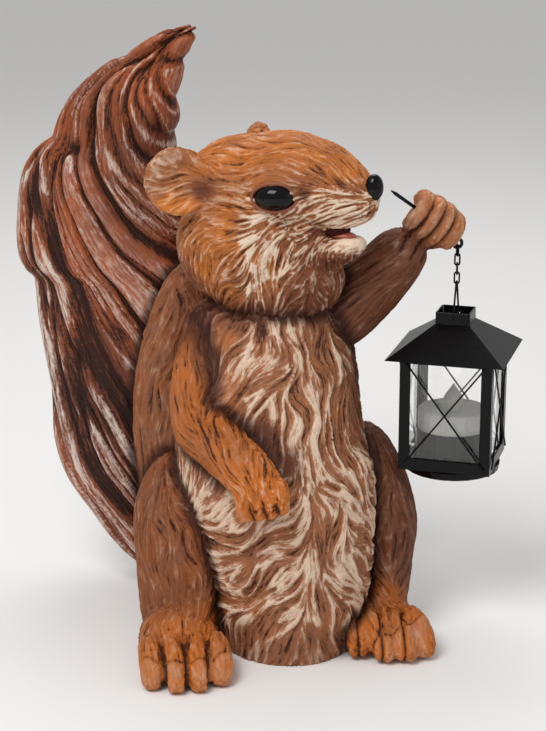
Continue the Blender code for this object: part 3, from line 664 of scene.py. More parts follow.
@dataclass(frozen=True)
class CastPaint:
    """Painted resin casting: a russet coat, a dark wash in the carving, cream on its ridges, and painted
    shade in its creases and under the chin and arms.

    Attributes:
        name: The material's name.
        coat: Colour of the coat.
        bright: Colour of the coat where it glows.
        wash: Colour that runs into the grooves.
        brush: Colour dry-brushed on the ridges.
        shade: Colour of the dark wash over whole regions, and of the painted shade under the chin and arms,
            in corners and in the ears.
        groove: Relief below which the wash fills.
        ridge: Relief above which the dry brush catches.
        roughness: Roughness of the sealed paint.
    """

    # Width of the strokes of the carver's tool and of the dry brush, in millimetres
    TOOL = 1.5
    BRUSH = 0.8
    # Width of patches in the coat, of worn patches in the dry brush and of the sealer's unevenness
    PATCH = 14.0
    WORN = 7.0
    SEALER = 2.0
    # Strength of the sealer's reflection, and how far its roughness goes up and down
    MATT = 0.22
    SPREAD = 0.12
    # Places along the fur on each side at which a stroke averages its noise
    STEPS = 4

    name: str
    coat: str
    bright: str
    wash: str
    brush: str
    shade: str
    groove: float = 0.24
    ridge: float = 0.56
    roughness: float = 0.6

    def material(self) -> bpy.types.Material:
        """Builds the material from the piece's attributes and its own noise.

        Returns:
            The material.
        """
        material, tree, shader = blank_material(self.name)
        place = add_node(tree, "ShaderNodeTexCoord").outputs["Object"]
        read = {
            name: add_node(tree, "ShaderNodeAttribute", {"attribute_name": name}).outputs["Fac"]
            for name in ("relief", "hollow", "fur", "cream", "glow", "umber_and_shade")
        }
        lie = add_node(tree, "ShaderNodeAttribute", {"attribute_name": "lie"}).outputs["Vector"]
        tooled = self.streaks(tree, place, lie, self.TOOL)
        brushed = self.streaks(tree, place, lie, self.BRUSH)
        patch = self.cloud(tree, place, self.PATCH)
        # The coat glows orange in patches and is darker where a region is washed dark brown or given
        # painted shade
        glow = self.sum(tree, read["glow"], patch, 1.3, -0.65)
        coat = self.mix(tree, self.ramp(tree, glow, 0.0, 1.0, 1.0), linear(self.coat), linear(self.bright))
        coat = self.mix(tree, self.ramp(tree, read["umber_and_shade"], 0.0, 1.0, 0.9), coat, linear(self.shade))
        # Strokes of tool and brush add to the carved relief, and the wash fills what lies low in it
        strokes = self.product(tree, self.sum(tree, tooled, brushed, 0.7, -0.85), read["fur"])
        depth = self.sum(tree, read["relief"], strokes, 0.3, 0.0)
        low = self.groove
        coat = self.mix(tree, self.ramp(tree, depth, low + 0.3, low, 0.28), coat, linear(self.wash))
        coat = self.mix(tree, self.ramp(tree, depth, low + 0.05, low - 0.2, 0.9), coat, linear(self.wash))
        # The dry brush catches the ridges and is worn off in patches; painted shade, in the wash's colour,
        # lies in the creases and where pieces meet
        lifted = self.sum(tree, depth, read["cream"], 0.2, -0.1)
        caught = self.ramp(tree, lifted, self.ridge, self.ridge + 0.45, 0.92)
        worn = self.sum(tree, read["cream"], self.cloud(tree, place, self.WORN), 0.9, -0.45)
        caught = self.product(tree, caught, self.ramp(tree, worn, 0.0, 1.0, 1.0))
        coat = self.mix(tree, caught, coat, linear(self.brush))
        # Painted shade: darker in the creases and where pieces meet
        coat = self.mix(tree, self.ramp(tree, read["hollow"], 0.3, 3.0, 0.85), coat, linear(self.wash))
        tree.links.new(coat, shader.inputs["Base Color"])
        # A matt sealer: faint reflections and an uneven roughness, over the strokes' fine ridges
        shader.inputs["Specular IOR Level"].default_value = self.MATT
        rough = add_node(
            tree,
            "ShaderNodeMapRange",
            {"To Min": self.roughness - self.SPREAD, "To Max": self.roughness + self.SPREAD},
            {"Value": self.cloud(tree, place, self.SEALER)},
        )
        tree.links.new(rough.outputs["Result"], shader.inputs["Roughness"])
        grain = {"Strength": 0.8, "Distance": 0.4 * MM}
        bump = add_node(tree, "ShaderNodeBump", grain, {"Height": strokes})
        tree.links.new(bump.outputs["Normal"], shader.inputs["Normal"])
        return material

    @classmethod
    def streaks(
        cls,
        tree: bpy.types.NodeTree,
        place: bpy.types.NodeSocket,
        lie: bpy.types.NodeSocket,
        width: float,
    ) -> bpy.types.NodeSocket:
        """Averages noise along the fur, so that it shows as strokes.

        Args:
            tree: The material's nodes.
            place: Where the surface is.
            lie: Which way the fur lies.
            width: Width of a stroke in millimetres.

        Returns:
            A value about 0 to 1 across the strokes.
        """
        total = None
        for step in range(-cls.STEPS, cls.STEPS + 1):
            offset = (0.5 * step * width * MM,) * 3
            spot = add_node(
                tree, "ShaderNodeVectorMath", {"operation": "MULTIPLY_ADD", 1: offset}, {0: lie, 2: place}
            ).outputs["Vector"]
            value = add_node(
                tree, "ShaderNodeTexNoise", {"Scale": 1 / (width * MM), "Detail": 0.0}, {"Vector": spot}
            ).outputs["Fac"]
            if total is None:
                total = value
            else:
                total = add_node(tree, "ShaderNodeMath", {}, {0: total, 1: value}).outputs[0]
        count = 2 * cls.STEPS + 1
        settings = {"From Min": count * 0.4, "From Max": count * 0.6}
        return add_node(tree, "ShaderNodeMapRange", settings, {"Value": total}).outputs["Result"]

    @staticmethod
    def cloud(tree: bpy.types.NodeTree, place: bpy.types.NodeSocket, size: float) -> bpy.types.NodeSocket:
        """Makes soft patches of a size in millimetres, with values about 0.3 to 0.7."""
        settings = {"Scale": 1 / (size * MM), "Detail": 2.0}
        return add_node(tree, "ShaderNodeTexNoise", settings, {"Vector": place}).outputs["Fac"]

    @staticmethod
    def sum(
        tree: bpy.types.NodeTree,
        first: bpy.types.NodeSocket,
        second: bpy.types.NodeSocket,
        times: float,
        plus: float,
    ) -> bpy.types.NodeSocket:
        """Adds a second value, times a factor and plus a number, to a first.

        Args:
            tree: The material's nodes.
            first: The value that is added to.
            second: The value that is scaled and shifted.
            times: The factor.
            plus: The number.

        Returns:
            The sum.
        """
        settings = {"operation": "MULTIPLY_ADD", 1: times, 2: plus}
        part = add_node(tree, "ShaderNodeMath", settings, {0: second}).outputs[0]
        return add_node(tree, "ShaderNodeMath", {}, {0: first, 1: part}).outputs[0]

    @staticmethod
    def product(
        tree: bpy.types.NodeTree, first: bpy.types.NodeSocket, second: bpy.types.NodeSocket
    ) -> bpy.types.NodeSocket:
        """Multiplies two values."""
        return add_node(tree, "ShaderNodeMath", {"operation": "MULTIPLY"}, {0: first, 1: second}).outputs[0]

    @staticmethod
    def mix(
        tree: bpy.types.NodeTree, share: bpy.types.NodeSocket, under: object, over: object
    ) -> bpy.types.NodeSocket:
        """Lays one colour over another.

        Args:
            tree: The material's nodes.
            share: How much of the upper colour shows.
            under: The lower colour, or a socket that gives it.
            over: The upper colour, or a socket that gives it.

        Returns:
            The mixed colour.
        """
        settings: dict[str | int, object] = {"data_type": "RGBA"}
        links: dict[str | int, bpy.types.NodeSocket] = {0: share}
        for slot, colour in ((MIX_A, under), (MIX_B, over)):
            if isinstance(colour, tuple):
                settings[slot] = colour
            else:
                links[slot] = colour
        return add_node(tree, "ShaderNodeMix", settings, links).outputs[MIX_RESULT]

    @staticmethod
    def ramp(
        tree: bpy.types.NodeTree, value: bpy.types.NodeSocket, start: float, end: float, top: float
    ) -> bpy.types.NodeSocket:
        """Turns a value into one that rises softly.

        Args:
            tree: The material's nodes.
            value: The value.
            start: The value at which the result is 0; it may lie above the end.
            end: The value at which the result is at its top.
            top: The result's top.

        Returns:
            The result.
        """
        settings = {"interpolation_type": "SMOOTHSTEP", "From Min": start, "From Max": end, "To Max": top}
        if start > end:
            settings.update({"From Min": end, "From Max": start, "To Min": top, "To Max": 0.0})
        return add_node(tree, "ShaderNodeMapRange", settings, {"Value": value}).outputs["Result"]


@dataclass(frozen=True)
class PlainFinish:
    """A finish of one colour with a faint unevenness, such as paint on steel or moulded plastic.

    Attributes:
        name: The material's name.
        colour: Its colour.
        rough: Its roughness.
        coat: Weight of a clear gloss over it.
        ripple: Depth of the unevenness in millimetres.
        ripple_size: Width of the unevenness in millimetres.
        subsurface: How much light goes into it.
        mirror: Strength of its reflection; a half is that of common plastic.
    """

    # Roughness of the clear gloss, and how far light goes into the material in millimetres
    GLOSS = 0.08
    SOAK = 2.0

    name: str
    colour: str
    rough: float
    coat: float = 0.0
    ripple: float = 0.02
    ripple_size: float = 2.0
    subsurface: float = 0.0
    mirror: float = 0.5

    def material(self) -> bpy.types.Material:
        """Builds the material, its colour and roughness a little uneven.

        Returns:
            The material.
        """
        material, tree, shader = blank_material(self.name)
        place = add_node(tree, "ShaderNodeTexCoord").outputs["Object"]
        grain = {"Scale": 1 / (self.ripple_size * MM), "Detail": 3.0}
        cloud = add_node(tree, "ShaderNodeTexNoise", grain, {"Vector": place}).outputs["Fac"]
        dark = tuple(0.8 * channel for channel in linear(self.colour)[:3]) + (1.0,)
        colour = CastPaint.mix(tree, cloud, linear(self.colour), dark)
        tree.links.new(colour, shader.inputs["Base Color"])
        spread = {"To Min": 0.75 * self.rough, "To Max": 1.25 * self.rough}
        rough = add_node(tree, "ShaderNodeMapRange", spread, {"Value": cloud}).outputs["Result"]
        tree.links.new(rough, shader.inputs["Roughness"])
        ripple = {"Strength": 0.6, "Distance": self.ripple * MM}
        bump = add_node(tree, "ShaderNodeBump", ripple, {"Height": cloud}).outputs["Normal"]
        tree.links.new(bump, shader.inputs["Normal"])
        shader.inputs["Specular IOR Level"].default_value = self.mirror
        shader.inputs["Coat Weight"].default_value = self.coat
        shader.inputs["Coat Roughness"].default_value = self.GLOSS
        shader.inputs["Subsurface Weight"].default_value = self.subsurface
        shader.inputs["Subsurface Scale"].default_value = self.SOAK * MM
        return material


@dataclass(frozen=True)
class ClearGlass:
    """Thin clear soda-lime window glass: see-through, with sharp reflections.

    Attributes:
        name: The material's name.
        ior: Its index of refraction.
    """

    name: str = "clear_window_glass"
    ior: float = 1.5

    def material(self) -> bpy.types.Material:
        """Builds the material from plain values on the shader.

        Returns:
            The material.
        """
        material, _, shader = blank_material(self.name)
        shader.inputs["Base Color"].default_value = linear("FFFFFF")
        shader.inputs["Roughness"].default_value = 0.0
        shader.inputs["IOR"].default_value = self.ior
        shader.inputs["Transmission Weight"].default_value = 1.0
        return material


# Sealed acrylic on cast resin: satin, the wash nearly black in the grooves
BODY_PAINT = CastPaint("painted_cast_resin_body", "A56C4A", "C66E28", "32130A", "E6CBB2", "542A1C")
HEAD_PAINT = CastPaint("painted_cast_resin_head", "A0643E", "C87226", "401E10", "E8D2BA", "5A2A1A")
TAIL_PAINT = CastPaint(
    "painted_cast_resin_tail", "8A5038", "AE5A30", "220C06", "DCCABE", "44201A", groove=0.42, ridge=0.62
)
# Glossy black enamel over the resin of eyes and nose: wet look, sharp highlights
WET_BLACK = PlainFinish("gloss_black_enamel", "020203", 0.06, ripple=0.0, mirror=0.25)
# Flesh-coloured paint on the rims of the lids: satin
LID_PAINT = PlainFinish("painted_lid", "94583F", 0.5, ripple=0.06, ripple_size=1.2, mirror=0.25)
# Sprayed black paint on thin steel: satin to gloss, with a faint orange peel
BLACK_PAINT = PlainFinish("sprayed_black_steel", "030304", 0.3, ripple=0.02, ripple_size=1.6, mirror=0.2)
# Blackened steel wire of the chain and hook: a little duller
BLACK_WIRE = PlainFinish("blackened_steel_wire", "050506", 0.4, ripple=0.02, ripple_size=1.0, mirror=0.2)
# Injection-moulded white polypropylene: soft satin that lets some light in
WHITE_SHELL = PlainFinish("moulded_white_plastic", "F2F1EC", 0.42, ripple=0.01, subsurface=0.25)
# Frosted flame of soft plastic: duller and more milky
MILKY_FLAME = PlainFinish(
    "frosted_flame_plastic", "ECEADF", 0.55, ripple=0.04, ripple_size=1.5, subsurface=0.5
)
# Painted flesh of the mouth: moist gloss; the dark mass behind the tongue is painted shade inside the open
# mouth
TONGUE_PAINT = PlainFinish("painted_tongue", "B8604F", 0.3, coat=0.4, ripple=0.05, ripple_size=1.0)
MOUTH_SHADE_PAINT = PlainFinish("painted_mouth_shade", "42180F", 0.6, ripple=0.05, ripple_size=1.0, mirror=0.1)

# Fur of each region: depth, broad, wave, cream, glow, and the dark wash that also stands for painted shade
CHEST = Fur(1.7, 0.35, 0.45, 0.95, 0.05, 0.2)
# Painted shade under the chin, and beside and under the right arm
SHADE = Fur(1.5, 0.2, 0.4, 0.3, 0.1, 0.95)
BELLY = Fur(2.4, 1.0, 0.3, 1.2, 0.05, 0.0)
CURLS = Fur(2.4, 1.0, 0.6, 1.2, 0.05, 0.0)
HEM = Fur(1.4, 0.6, 0.3, 0.4, 0.1, 0.4)
FLANK = Fur(1.4, 0.2, 0.35, 0.2, 0.2, 0.9)
BACK = Fur(1.5, 0.3, 0.35, 0.2, 0.3, 0.5)
THIGH = Fur(1.5, 0.2, 0.5, 0.2, 0.5, 0.6)
FAR_THIGH = Fur(1.2, 0.2, 0.35, 0.2, 0.2, 0.8)
NEAR_ARM = Fur(1.2, 0.1, 0.4, 0.15, 0.7, 0.35)
FAR_ARM = Fur(0.8, 0.2, 0.2, 0.15, 0.1, 0.75)
PAW = Fur(0.7, 0.0, 0.1, 0.5, 1.0, 0.0)
FIST = Fur(0.4, 0.1, 0.1, 0.45, 0.5, 0.15)
FOOT = Fur(0.7, 0.0, 0.1, 0.3, 0.75, 0.2)
CROWN = Fur(1.0, 0.0, 0.4, 0.35, 0.6, 0.15)
BROW = Fur(0.8, 0.1, 0.2, 0.2, 0.4, 0.35)
MUZZLE = Fur(0.9, 0.0, 0.25, 1.3, 0.05, 0.0)
CHEEK = Fur(1.4, 0.4, 0.45, 1.15, 0.15, 0.0)
NAPE = Fur(1.2, 0.2, 0.4, 0.4, 0.6, 0.2)
# Painted shadow under the head: SCRUFF darker at the back of its underside, THROAT beneath the chin
SCRUFF = Fur(1.2, 0.2, 0.4, 0.25, 0.35, 0.6)
THROAT = Fur(1.2, 0.2, 0.4, 0.35, 0.05, 0.75)
LIP = Fur(0.1, 0.0, 0.0, 1.2, 0.0, 0.0)
# Painted shade in the recessed corners of the eyes and mouth
CORNER = Fur(0.6, 0.1, 0.1, 0.0, 0.0, 1.1)
EAR_CUP = Fur(0.45, 0.0, 0.05, 0.5, 0.0, 0.1)
# Painted shade deep in the ear's cup, by its root
EAR_ROOT = Fur(0.6, 0.0, 0.1, 0.05, 0.1, 0.95)
EAR_LOBE = Fur(0.5, 0.0, 0.1, 0.4, 0.7, 0.0)


@dataclass
class Head:
    """The head: skull, open mouth and ears carved in one, with lids, eyes, nose and tongue.

    Attributes:
        centre: The head's own middle.
        turn: How far it is turned from the belly's direction, in degrees.
        ear_places: The near and the far ear's middles along the head's axes.
        ear_facing: The way the near ear faces; the far one mirrors it.
        ear_radius: The ear's radius.
        ear_depths: How deep the ear's cup is, how thick its rim, and how far it bulges behind.
        eye_place: The eye's middle along the head's axes.
        eye_half: The eye's half sizes along its slit, out of the head, and up.
        lid_half: Half sizes of the lids' rim along the slit, above it and below it.
        lid_thick: Half thickness of the rim below, and how much more it has at the top.
        nose_place: The nose's middle along the head's axes.
        nose_half: The nose's half sizes.
        tongue_place: The tongue's middle.
        tongue_half: The tongue's half sizes.
        throat_place: The middle of the dark mass behind the tongue, which is painted shade inside the open
            mouth.
        throat_half: That mass's half sizes.
        skull_voxel: Grain of the remesh that joins the skull's masses.
        voxel: Grain of the last remesh, halved once afterwards.
        grain: Width and reach of a strand.
        forward: The way the muzzle points.
        right: The way the squirrel's right cheek faces.
    """

    centre: Point = (-5.0, 8.0, 243.0)
    turn: float = 43.0
    ear_places: tuple[Point, Point] = ((-20.5, 41.0, 15.0), (-15.0, -41.0, 19.5))
    ear_facing: Point = (0.55, 0.80, 0.22)
    ear_radius: float = 18.5
    ear_depths: Point = (8.5, 5.0, 12.5)
    eye_place: Point = (30.0, 24.0, 8.3)
    eye_half: Point = (11.2, 7.5, 7.4)
    lid_half: Point = (12.4, 7.7, 7.3)
    lid_thick: tuple[float, float] = (0.85, 0.3)
    nose_place: Point = (76.6, 0.0, 14.6)
    nose_half: Point = (5.0, 5.2, 7.2)
    tongue_place: Point = (57.0, 0.0, -13.0)
    tongue_half: Point = (9.0, 4.8, 2.4)
    throat_place: Point = (53.0, 0.0, -10.0)
    throat_half: Point = (9.0, 7.0, 4.5)
    skull_voxel: float = 1.5
    voxel: float = 1.55
    grain: tuple[float, float] = (1.8, 10.0)
    forward: np.ndarray = field(init=False)
    right: np.ndarray = field(init=False)

    def __post_init__(self) -> None:
        """Works out the head's own axes."""
        turn = math.radians(self.turn)
        self.forward = np.array([math.sin(turn), -math.cos(turn), 0.0])
        self.right = np.array([-math.cos(turn), -math.sin(turn), 0.0])

    def way(self, forward: float, right: float, up: float) -> np.ndarray:
        """Turns a direction from the head's axes to the figure's."""
        return forward * self.forward + right * self.right + up * UP

    def at(self, forward: float, right: float, up: float) -> np.ndarray:
        """Turns a place from the head's axes to the figure's."""
        return np.array(self.centre) + self.way(forward, right, up)

    def axes(self) -> tuple[np.ndarray, np.ndarray, np.ndarray]:
        """Returns the head's three axes."""
        return (self.forward, self.right, UP)

    def spine(self, rows: Rows) -> Spine:
        """Makes a spine from rows along the head's axes."""
        return Spine([(*self.at(*row[:3]), *row[3:]) for row in rows], tuple(self.right))

    def mass(self, place: Point, half: Point) -> bpy.types.Object:
        """Makes an ellipsoid at a place and with half sizes along the head's axes."""
        return ellipsoid(self.at(*place), half, self.axes())

    def skull(self) -> bpy.types.Object:
        """Melts skull, cheeks, muzzle and jaw, the mouth left open between them.

        Returns:
            The head without its ears.
        """
        muzzle = self.spine(
            [
                (0, 0, 8, 33, 32),
                (22, 0, 14, 30, 27),
                (40, 0, 14, 24, 23.5),
                (52, 0, 11, 19.5, 22),
                (62, 0, 9.5, 15.5, 19),
                (71, 0, 9.5, 11.5, 14.5),
                (78, 0, 11, 7, 9.5),
            ]
        )
        masses = [
            self.mass((-2, 0, 1.5), (39, 36, 34.5)),
            self.mass((30, 0, -40), (26, 25, 22)),
            self.mass((12, 0, -44), (34, 33, 30)),
            self.mass((36, 0, -11), (14, 18.5, 8.5)),
            muzzle.mass(),
            self.jaw(),
        ]
        masses += [self.mass((0, 13 * side, -23), (37, 27, 33)) for side in (-1, 1)]
        return Modeller.melt(masses, "skull", self.skull_voxel, 12)

    def jaw(self) -> bpy.types.Object:
        """Makes the lower jaw, scooped out behind a thick lip.

        Returns:
            The closed jaw.
        """
        rows = [
            (20, 0, -24, 24, 18),
            (40, 0, -25, 17, 13),
            (54, 0, -22, 12.5, 9),
            (64, 0, -18, 10.5, 6.5),
            (71, 0, -15.5, 6.5, 4.5),
        ]
        jaw = self.spine(rows).mass()
        scoop = self.mass((58, 0, -9.5), (14, 6.6, 5.5))
        Modeller.apply(jaw, "BOOLEAN", object=scoop, operation="DIFFERENCE", solver="EXACT")
        bpy.data.objects.remove(scoop)
        return jaw

    def ear(self, side: int) -> bpy.types.Object:
        """Makes one ear: bulged behind, hollow in front, its rim a little rolled.

        Args:
            side: 1 for the squirrel's right and -1 for its left.

        Returns:
            The closed ear.
        """
        hollow, rim, bulge = self.ear_depths

        def cup(ball: np.ndarray) -> np.ndarray:
            """Hollows a sphere in front and flattens it behind.

            Args:
                ball: Points of the unit sphere.

            Returns:
                The ear's points along its axes.
            """
            inside = 1 - ball[:, 0] ** 2 - ball[:, 1] ** 2
            front = rim * ball[:, 2] - hollow * inside
            depth = np.where(ball[:, 2] > 0, front, bulge * ball[:, 2])
            return np.column_stack([ball[:, 0] * self.ear_radius, ball[:, 1] * self.ear_radius, depth])

        return shaped_ball(self.ear_middle(side), self.ear_axes(side), cup)

    def ear_middle(self, side: int) -> np.ndarray:
        """Returns the middle of an ear: side is 1 for the near one and -1 for the far one."""
        return self.at(*self.ear_places[0 if side > 0 else 1])

    def ear_axes(self, side: int) -> tuple[np.ndarray, np.ndarray, np.ndarray]:
        """Finds an ear's own axes.

        Args:
            side: 1 for the squirrel's right and -1 for its left.

        Returns:
            Its level axis, its rising axis and the way it faces.
        """
        forward, right, up = self.ear_facing
        facing = unit(self.way(forward, right * side, up))
        level = unit(np.cross(UP, facing))
        return level, np.cross(facing, level), facing

    def eye_middle(self, side: int) -> np.ndarray:
        """Returns the middle of an eye: side is 1 for the near one and -1 for the far one."""
        forward, right, up = self.eye_place
        return self.at(forward, right * side, up)

    def eye_axes(self, side: int) -> tuple[np.ndarray, np.ndarray, np.ndarray]:
        """Returns an eye's axes: along its slit, out of the head, and up."""
        return (unit(self.way(0.93, -0.36 * side, 0.02)), unit(self.way(0.36, 0.93 * side, 0.1)), UP)

    def lid(self, side: int) -> bpy.types.Object:
        """Makes the rim of an eye's lids, thicker above, drawn in to a point in front and behind.

        Args:
            side: 1 for the squirrel's right and -1 for its left.

        Returns:
            The closed rim.
        """
        slit, outward, up = self.eye_axes(side)
        length, above, below = self.lid_half
        thin, more = self.lid_thick
        rows = []
        for turn in np.linspace(0, 2 * math.pi, 17):
            lift = math.sin(turn)
            rise = lift * (above if lift > 0 else below)
            spot = self.eye_middle(side) + slit * length * math.cos(turn) + up * rise
            spot = spot + outward * (1.2 + 1.2 * abs(lift))
            thick = thin + more * max(0.0, lift)
            rows.append((*spot, thick, thick))
        return Spine(rows, tuple(outward)).mass(rings=90, segments=14)

    def strokes(self) -> list[Comb]:
        """Combs the head: back over the crown, back and down over the cheeks.

        Returns:
            The strokes, ears included.
        """
        # Place, way, reach and fur along the head's axes; the first rows lie on both sides alike
        paired = [
            (62, 8, 26, -1, 0, 0.2, 12, CROWN),
            (68, 13, 10, -1, 0, -0.05, 10, MUZZLE),
            (60, 16, 0, -1, 0, -0.25, 11, MUZZLE),
            (-6, 26, 28, -1, 0, -0.15, 16, CROWN),
            (30, 28, 20, -0.9, 0, 0, 8, BROW),
            (42, 22, -4, -0.8, 0.2, -0.5, 13, CHEEK),
            (24, 34, -12, -0.75, 0, -0.6, 15, CHEEK),
            (4, 40, -12, -0.85, 0, -0.55, 16, NAPE),
            (22, 32, -34, -0.5, 0, -1, 16, CHEEK),
            (64, 8, -14, -1, 0, -0.4, 6, LIP),
            (56, 12, -13, -1, 0, -0.4, 5, LIP),
            (-34, 20, 10, -0.5, 0, -0.9, 24, NAPE),
        ]
        single = [
            (76, 0, 24, -1, 0, 0.2, 10, CROWN),
            (78, 0, 2, -1, 0, -0.2, 8, MUZZLE),
            (40, 0, 38, -1, 0, 0.1, 18, CROWN),
            (22, 14, 36, -1, 0, 0.05, 18, CROWN),
            (8, 0, 42, -1, 0, 0, 24, CROWN),
            # CORNER rows: painted shade in the corners of the eye and mouth
            (45, 19, 11, -0.9, 0, 0, 4.5, CORNER),
            (49, 13, -9, -1, 0, 0.3, 5, CORNER),
            (0, 36, -36, -0.6, 0, -0.8, 16, NAPE),
            # SCRUFF and THROAT rows: painted shadow under the head and chin
            (8, 30, -56, -0.4, 0, -1, 12, SCRUFF),
            (-20, 28, -40, -0.5, 0, -1, 14, SCRUFF),
            (44, 8, -32, -0.35, 0, -1, 14, THROAT),
            (36, 12, -44, -0.2, 0, -1, 14, THROAT),
            (22, 30, -54, -0.4, 0, -1, 10, THROAT),
            (22, 0, -56, -0.4, 0, -1, 14, THROAT),
            (64, 0, -26, -0.8, 0, -0.8, 9, THROAT),
            (56, 8, -28, -0.6, 0, -1, 9, THROAT),
            (70, 0, -15, -1, 0, -0.4, 8, LIP),
        ]
        rows = single + [
            (ahead, side * out, up, back, side * aside, fall, reach, fur)
            for ahead, out, up, back, aside, fall, reach, fur in paired
            for side in (1, -1)
        ]
        strokes = [Comb(tuple(self.at(*row[:3])), tuple(self.way(*row[3:6])), *row[6:]) for row in rows]
        return strokes + self.ear_strokes(-1) + self.ear_strokes(1)

    def ear_strokes(self, side: int) -> list[Comb]:
        """Combs an ear outwards from its root, dark there with painted shade, paler round its rim and
        orange below.

        Args:
            side: 1 for the squirrel's right and -1 for its left.

        Returns:
            The ear's strokes.
        """
        level, rise, _ = self.ear_axes(side)
        middle = self.ear_middle(side)
        inner = level * np.sign(np.dot(self.forward, level))
        root = middle + inner * 0.66 * self.ear_radius - rise * 5
        # Painted shade deep in the cup, by the root
        strokes = [Comb(tuple(root), tuple(-inner), 8.5, EAR_ROOT)]
        for turn in np.linspace(0, 2 * math.pi, 12, endpoint=False):
            spot = middle + 0.78 * self.ear_radius * (inner * math.cos(turn) + rise * math.sin(turn))
            if math.cos(turn) > 0.6:
                continue
            low = math.sin(turn) < -0.6
            strokes.append(Comb(tuple(spot), tuple(spot - root), 6.0, EAR_LOBE if low else EAR_CUP))
        return strokes

    def build(self) -> list[bpy.types.Object]:
        """Builds, carves and paints the head and its glossy parts.

        Returns:
            The pieces of the head.
        """
        masses = [self.skull(), self.ear(1), self.ear(-1)]
        skin = Modeller.melt(masses, "squirrel_head", self.voxel, 2, 1)
        points = Modeller.points(skin) / MM
        carve(skin, Coat(self.strokes(), points), *self.grain)
        skin.data.materials.append(HEAD_PAINT.material())
        wet = WET_BLACK.material()
        lid_paint = LID_PAINT.material()
        pieces = [skin]
        for side, name in ((1, "squirrel_eye_right"), (-1, "squirrel_eye_left")):
            eye = ellipsoid(self.eye_middle(side), self.eye_half, self.eye_axes(side))
            pieces.append(finished(eye, name, wet))
            pieces.append(finished(self.lid(side), name + "_lid", lid_paint))
        # The dark mass behind the tongue is painted shade inside the open mouth
        inner = (
            ("squirrel_nose", self.nose_place, self.nose_half, wet),
            ("squirrel_tongue", self.tongue_place, self.tongue_half, TONGUE_PAINT.material()),
            ("squirrel_mouth", self.throat_place, self.throat_half, MOUTH_SHADE_PAINT.material()),
        )
        pieces += [finished(self.mass(place, half), name, paint) for name, place, half, paint in inner]
        return pieces


def finished(thing: bpy.types.Object, name: str, material: bpy.types.Material) -> bpy.types.Object:
    """Names a small smooth piece and gives it its material.

    Args:
        thing: The piece.
        name: Its name.
        material: Its material.

    Returns:
        The same piece.
    """
    thing.name = name
    thing.data.name = name
    thing.data.materials.append(material)
    Modeller.smooth(thing)
    return thing


@dataclass(frozen=True)
class Digits:
    """Four toes or fingers side by side, parted by grooves.

    Attributes:
        middle: The middle of their roots.
        across: Direction from one to the next.
        forward: Direction they point.
        spacing: Distance from one to the next.
        length: Their length from the roots.
        rise: How far the grooves reach above and below the row.
        nail: Distance of the nails' rear edge from the tips, or 0 for none.
    """

    # Half width of the groove between digits, and how far back from its end a bare tip's paint goes
    GROOVE = 1.3
    TIP = 6.0

    middle: Point
    across: Point
    forward: Point
    spacing: float
    length: float
    rise: float
    nail: float = 0.0

    def places(self, points: np.ndarray) -> tuple[np.ndarray, np.ndarray, np.ndarray]:
        """Measures points along the row.

        Args:
            points: Rows of places in millimetres.

        Returns:
            Each point's digit number, its reach from the roots, and how far it is in the row.
        """
        across, forward = unit(np.array(self.across)), unit(np.array(self.forward))
        offset = points - np.array(self.middle)
        number = offset @ across / self.spacing
        reach = offset @ forward
        aside = np.abs(offset @ unit(np.cross(across, forward)))
        inside = smooth_step(2.25 - np.abs(number), 0.0, 0.25) * smooth_step(self.rise - aside, 0.0, 4.0)
        return number, reach, inside

    def marks(self, points: np.ndarray) -> tuple[np.ndarray, np.ndarray, np.ndarray]:
        """Finds the grooves, nails and tips of the row.

        Args:
            points: Rows of places in millimetres.

        Returns:
            How much each point lies between digits, on a nail's rear edge, and at a tip.
        """
        number, reach, inside = self.places(points)
        near = np.abs(number - np.round(number)) * self.spacing
        along = smooth_step(reach, -4.0, 5.0) * smooth_step(self.length + 4 - reach, 0.0, 3.0)
        between = np.exp(-((near / self.GROOVE) ** 2)) * inside * along * (np.abs(number) < 1.5)
        middle = np.abs(number + 0.5 - np.round(number + 0.5))
        edge = self.length - 2.2 * (number**2) - max(self.nail, self.TIP)
        tip = inside * along * smooth_step(reach - edge, -1.0, 3.0)
        nail = np.exp(-(((reach - edge) / 1.0) ** 2)) * inside * (middle < 0.36) * (self.nail > 0)
        return between, nail, tip


def raise_skin(
    skin: bpy.types.Object, points: np.ndarray, normals: np.ndarray, height: np.ndarray
) -> None:
    """Moves a skin's points in or out, no further than the solids' box, and shades it smooth.

    Args:
        skin: The mesh.
        points: Its points in millimetres.
        normals: The way it faces there.
        height: How far out each point goes, in millimetres.
    """
    low, high = (np.array(corner) / MM for corner in CAD_BOX)
    Modeller.place(skin, np.clip(points + normals * height[:, None], low, high) * MM)
    Modeller.smooth(skin)


# Strands' relief: its level in the valleys, the height and width of a ridge, and the finest strands' share
VALLEY, RIDGE, RIDGE_WIDTH, FINEST = 0.27, 0.58, 0.8, 0.1
# Rounds of averaging that find the creases, and how deep the carving follows them in millimetres
CREASE_ROUNDS, CREASE_DEPTH = 40, 1.2
# A groove between digits as a share of their spacing, a nail's edge in millimetres, and the tips' cream
DIGIT_GROOVE, NAIL_EDGE, TIP_CREAM = 0.19, 0.7, 0.42


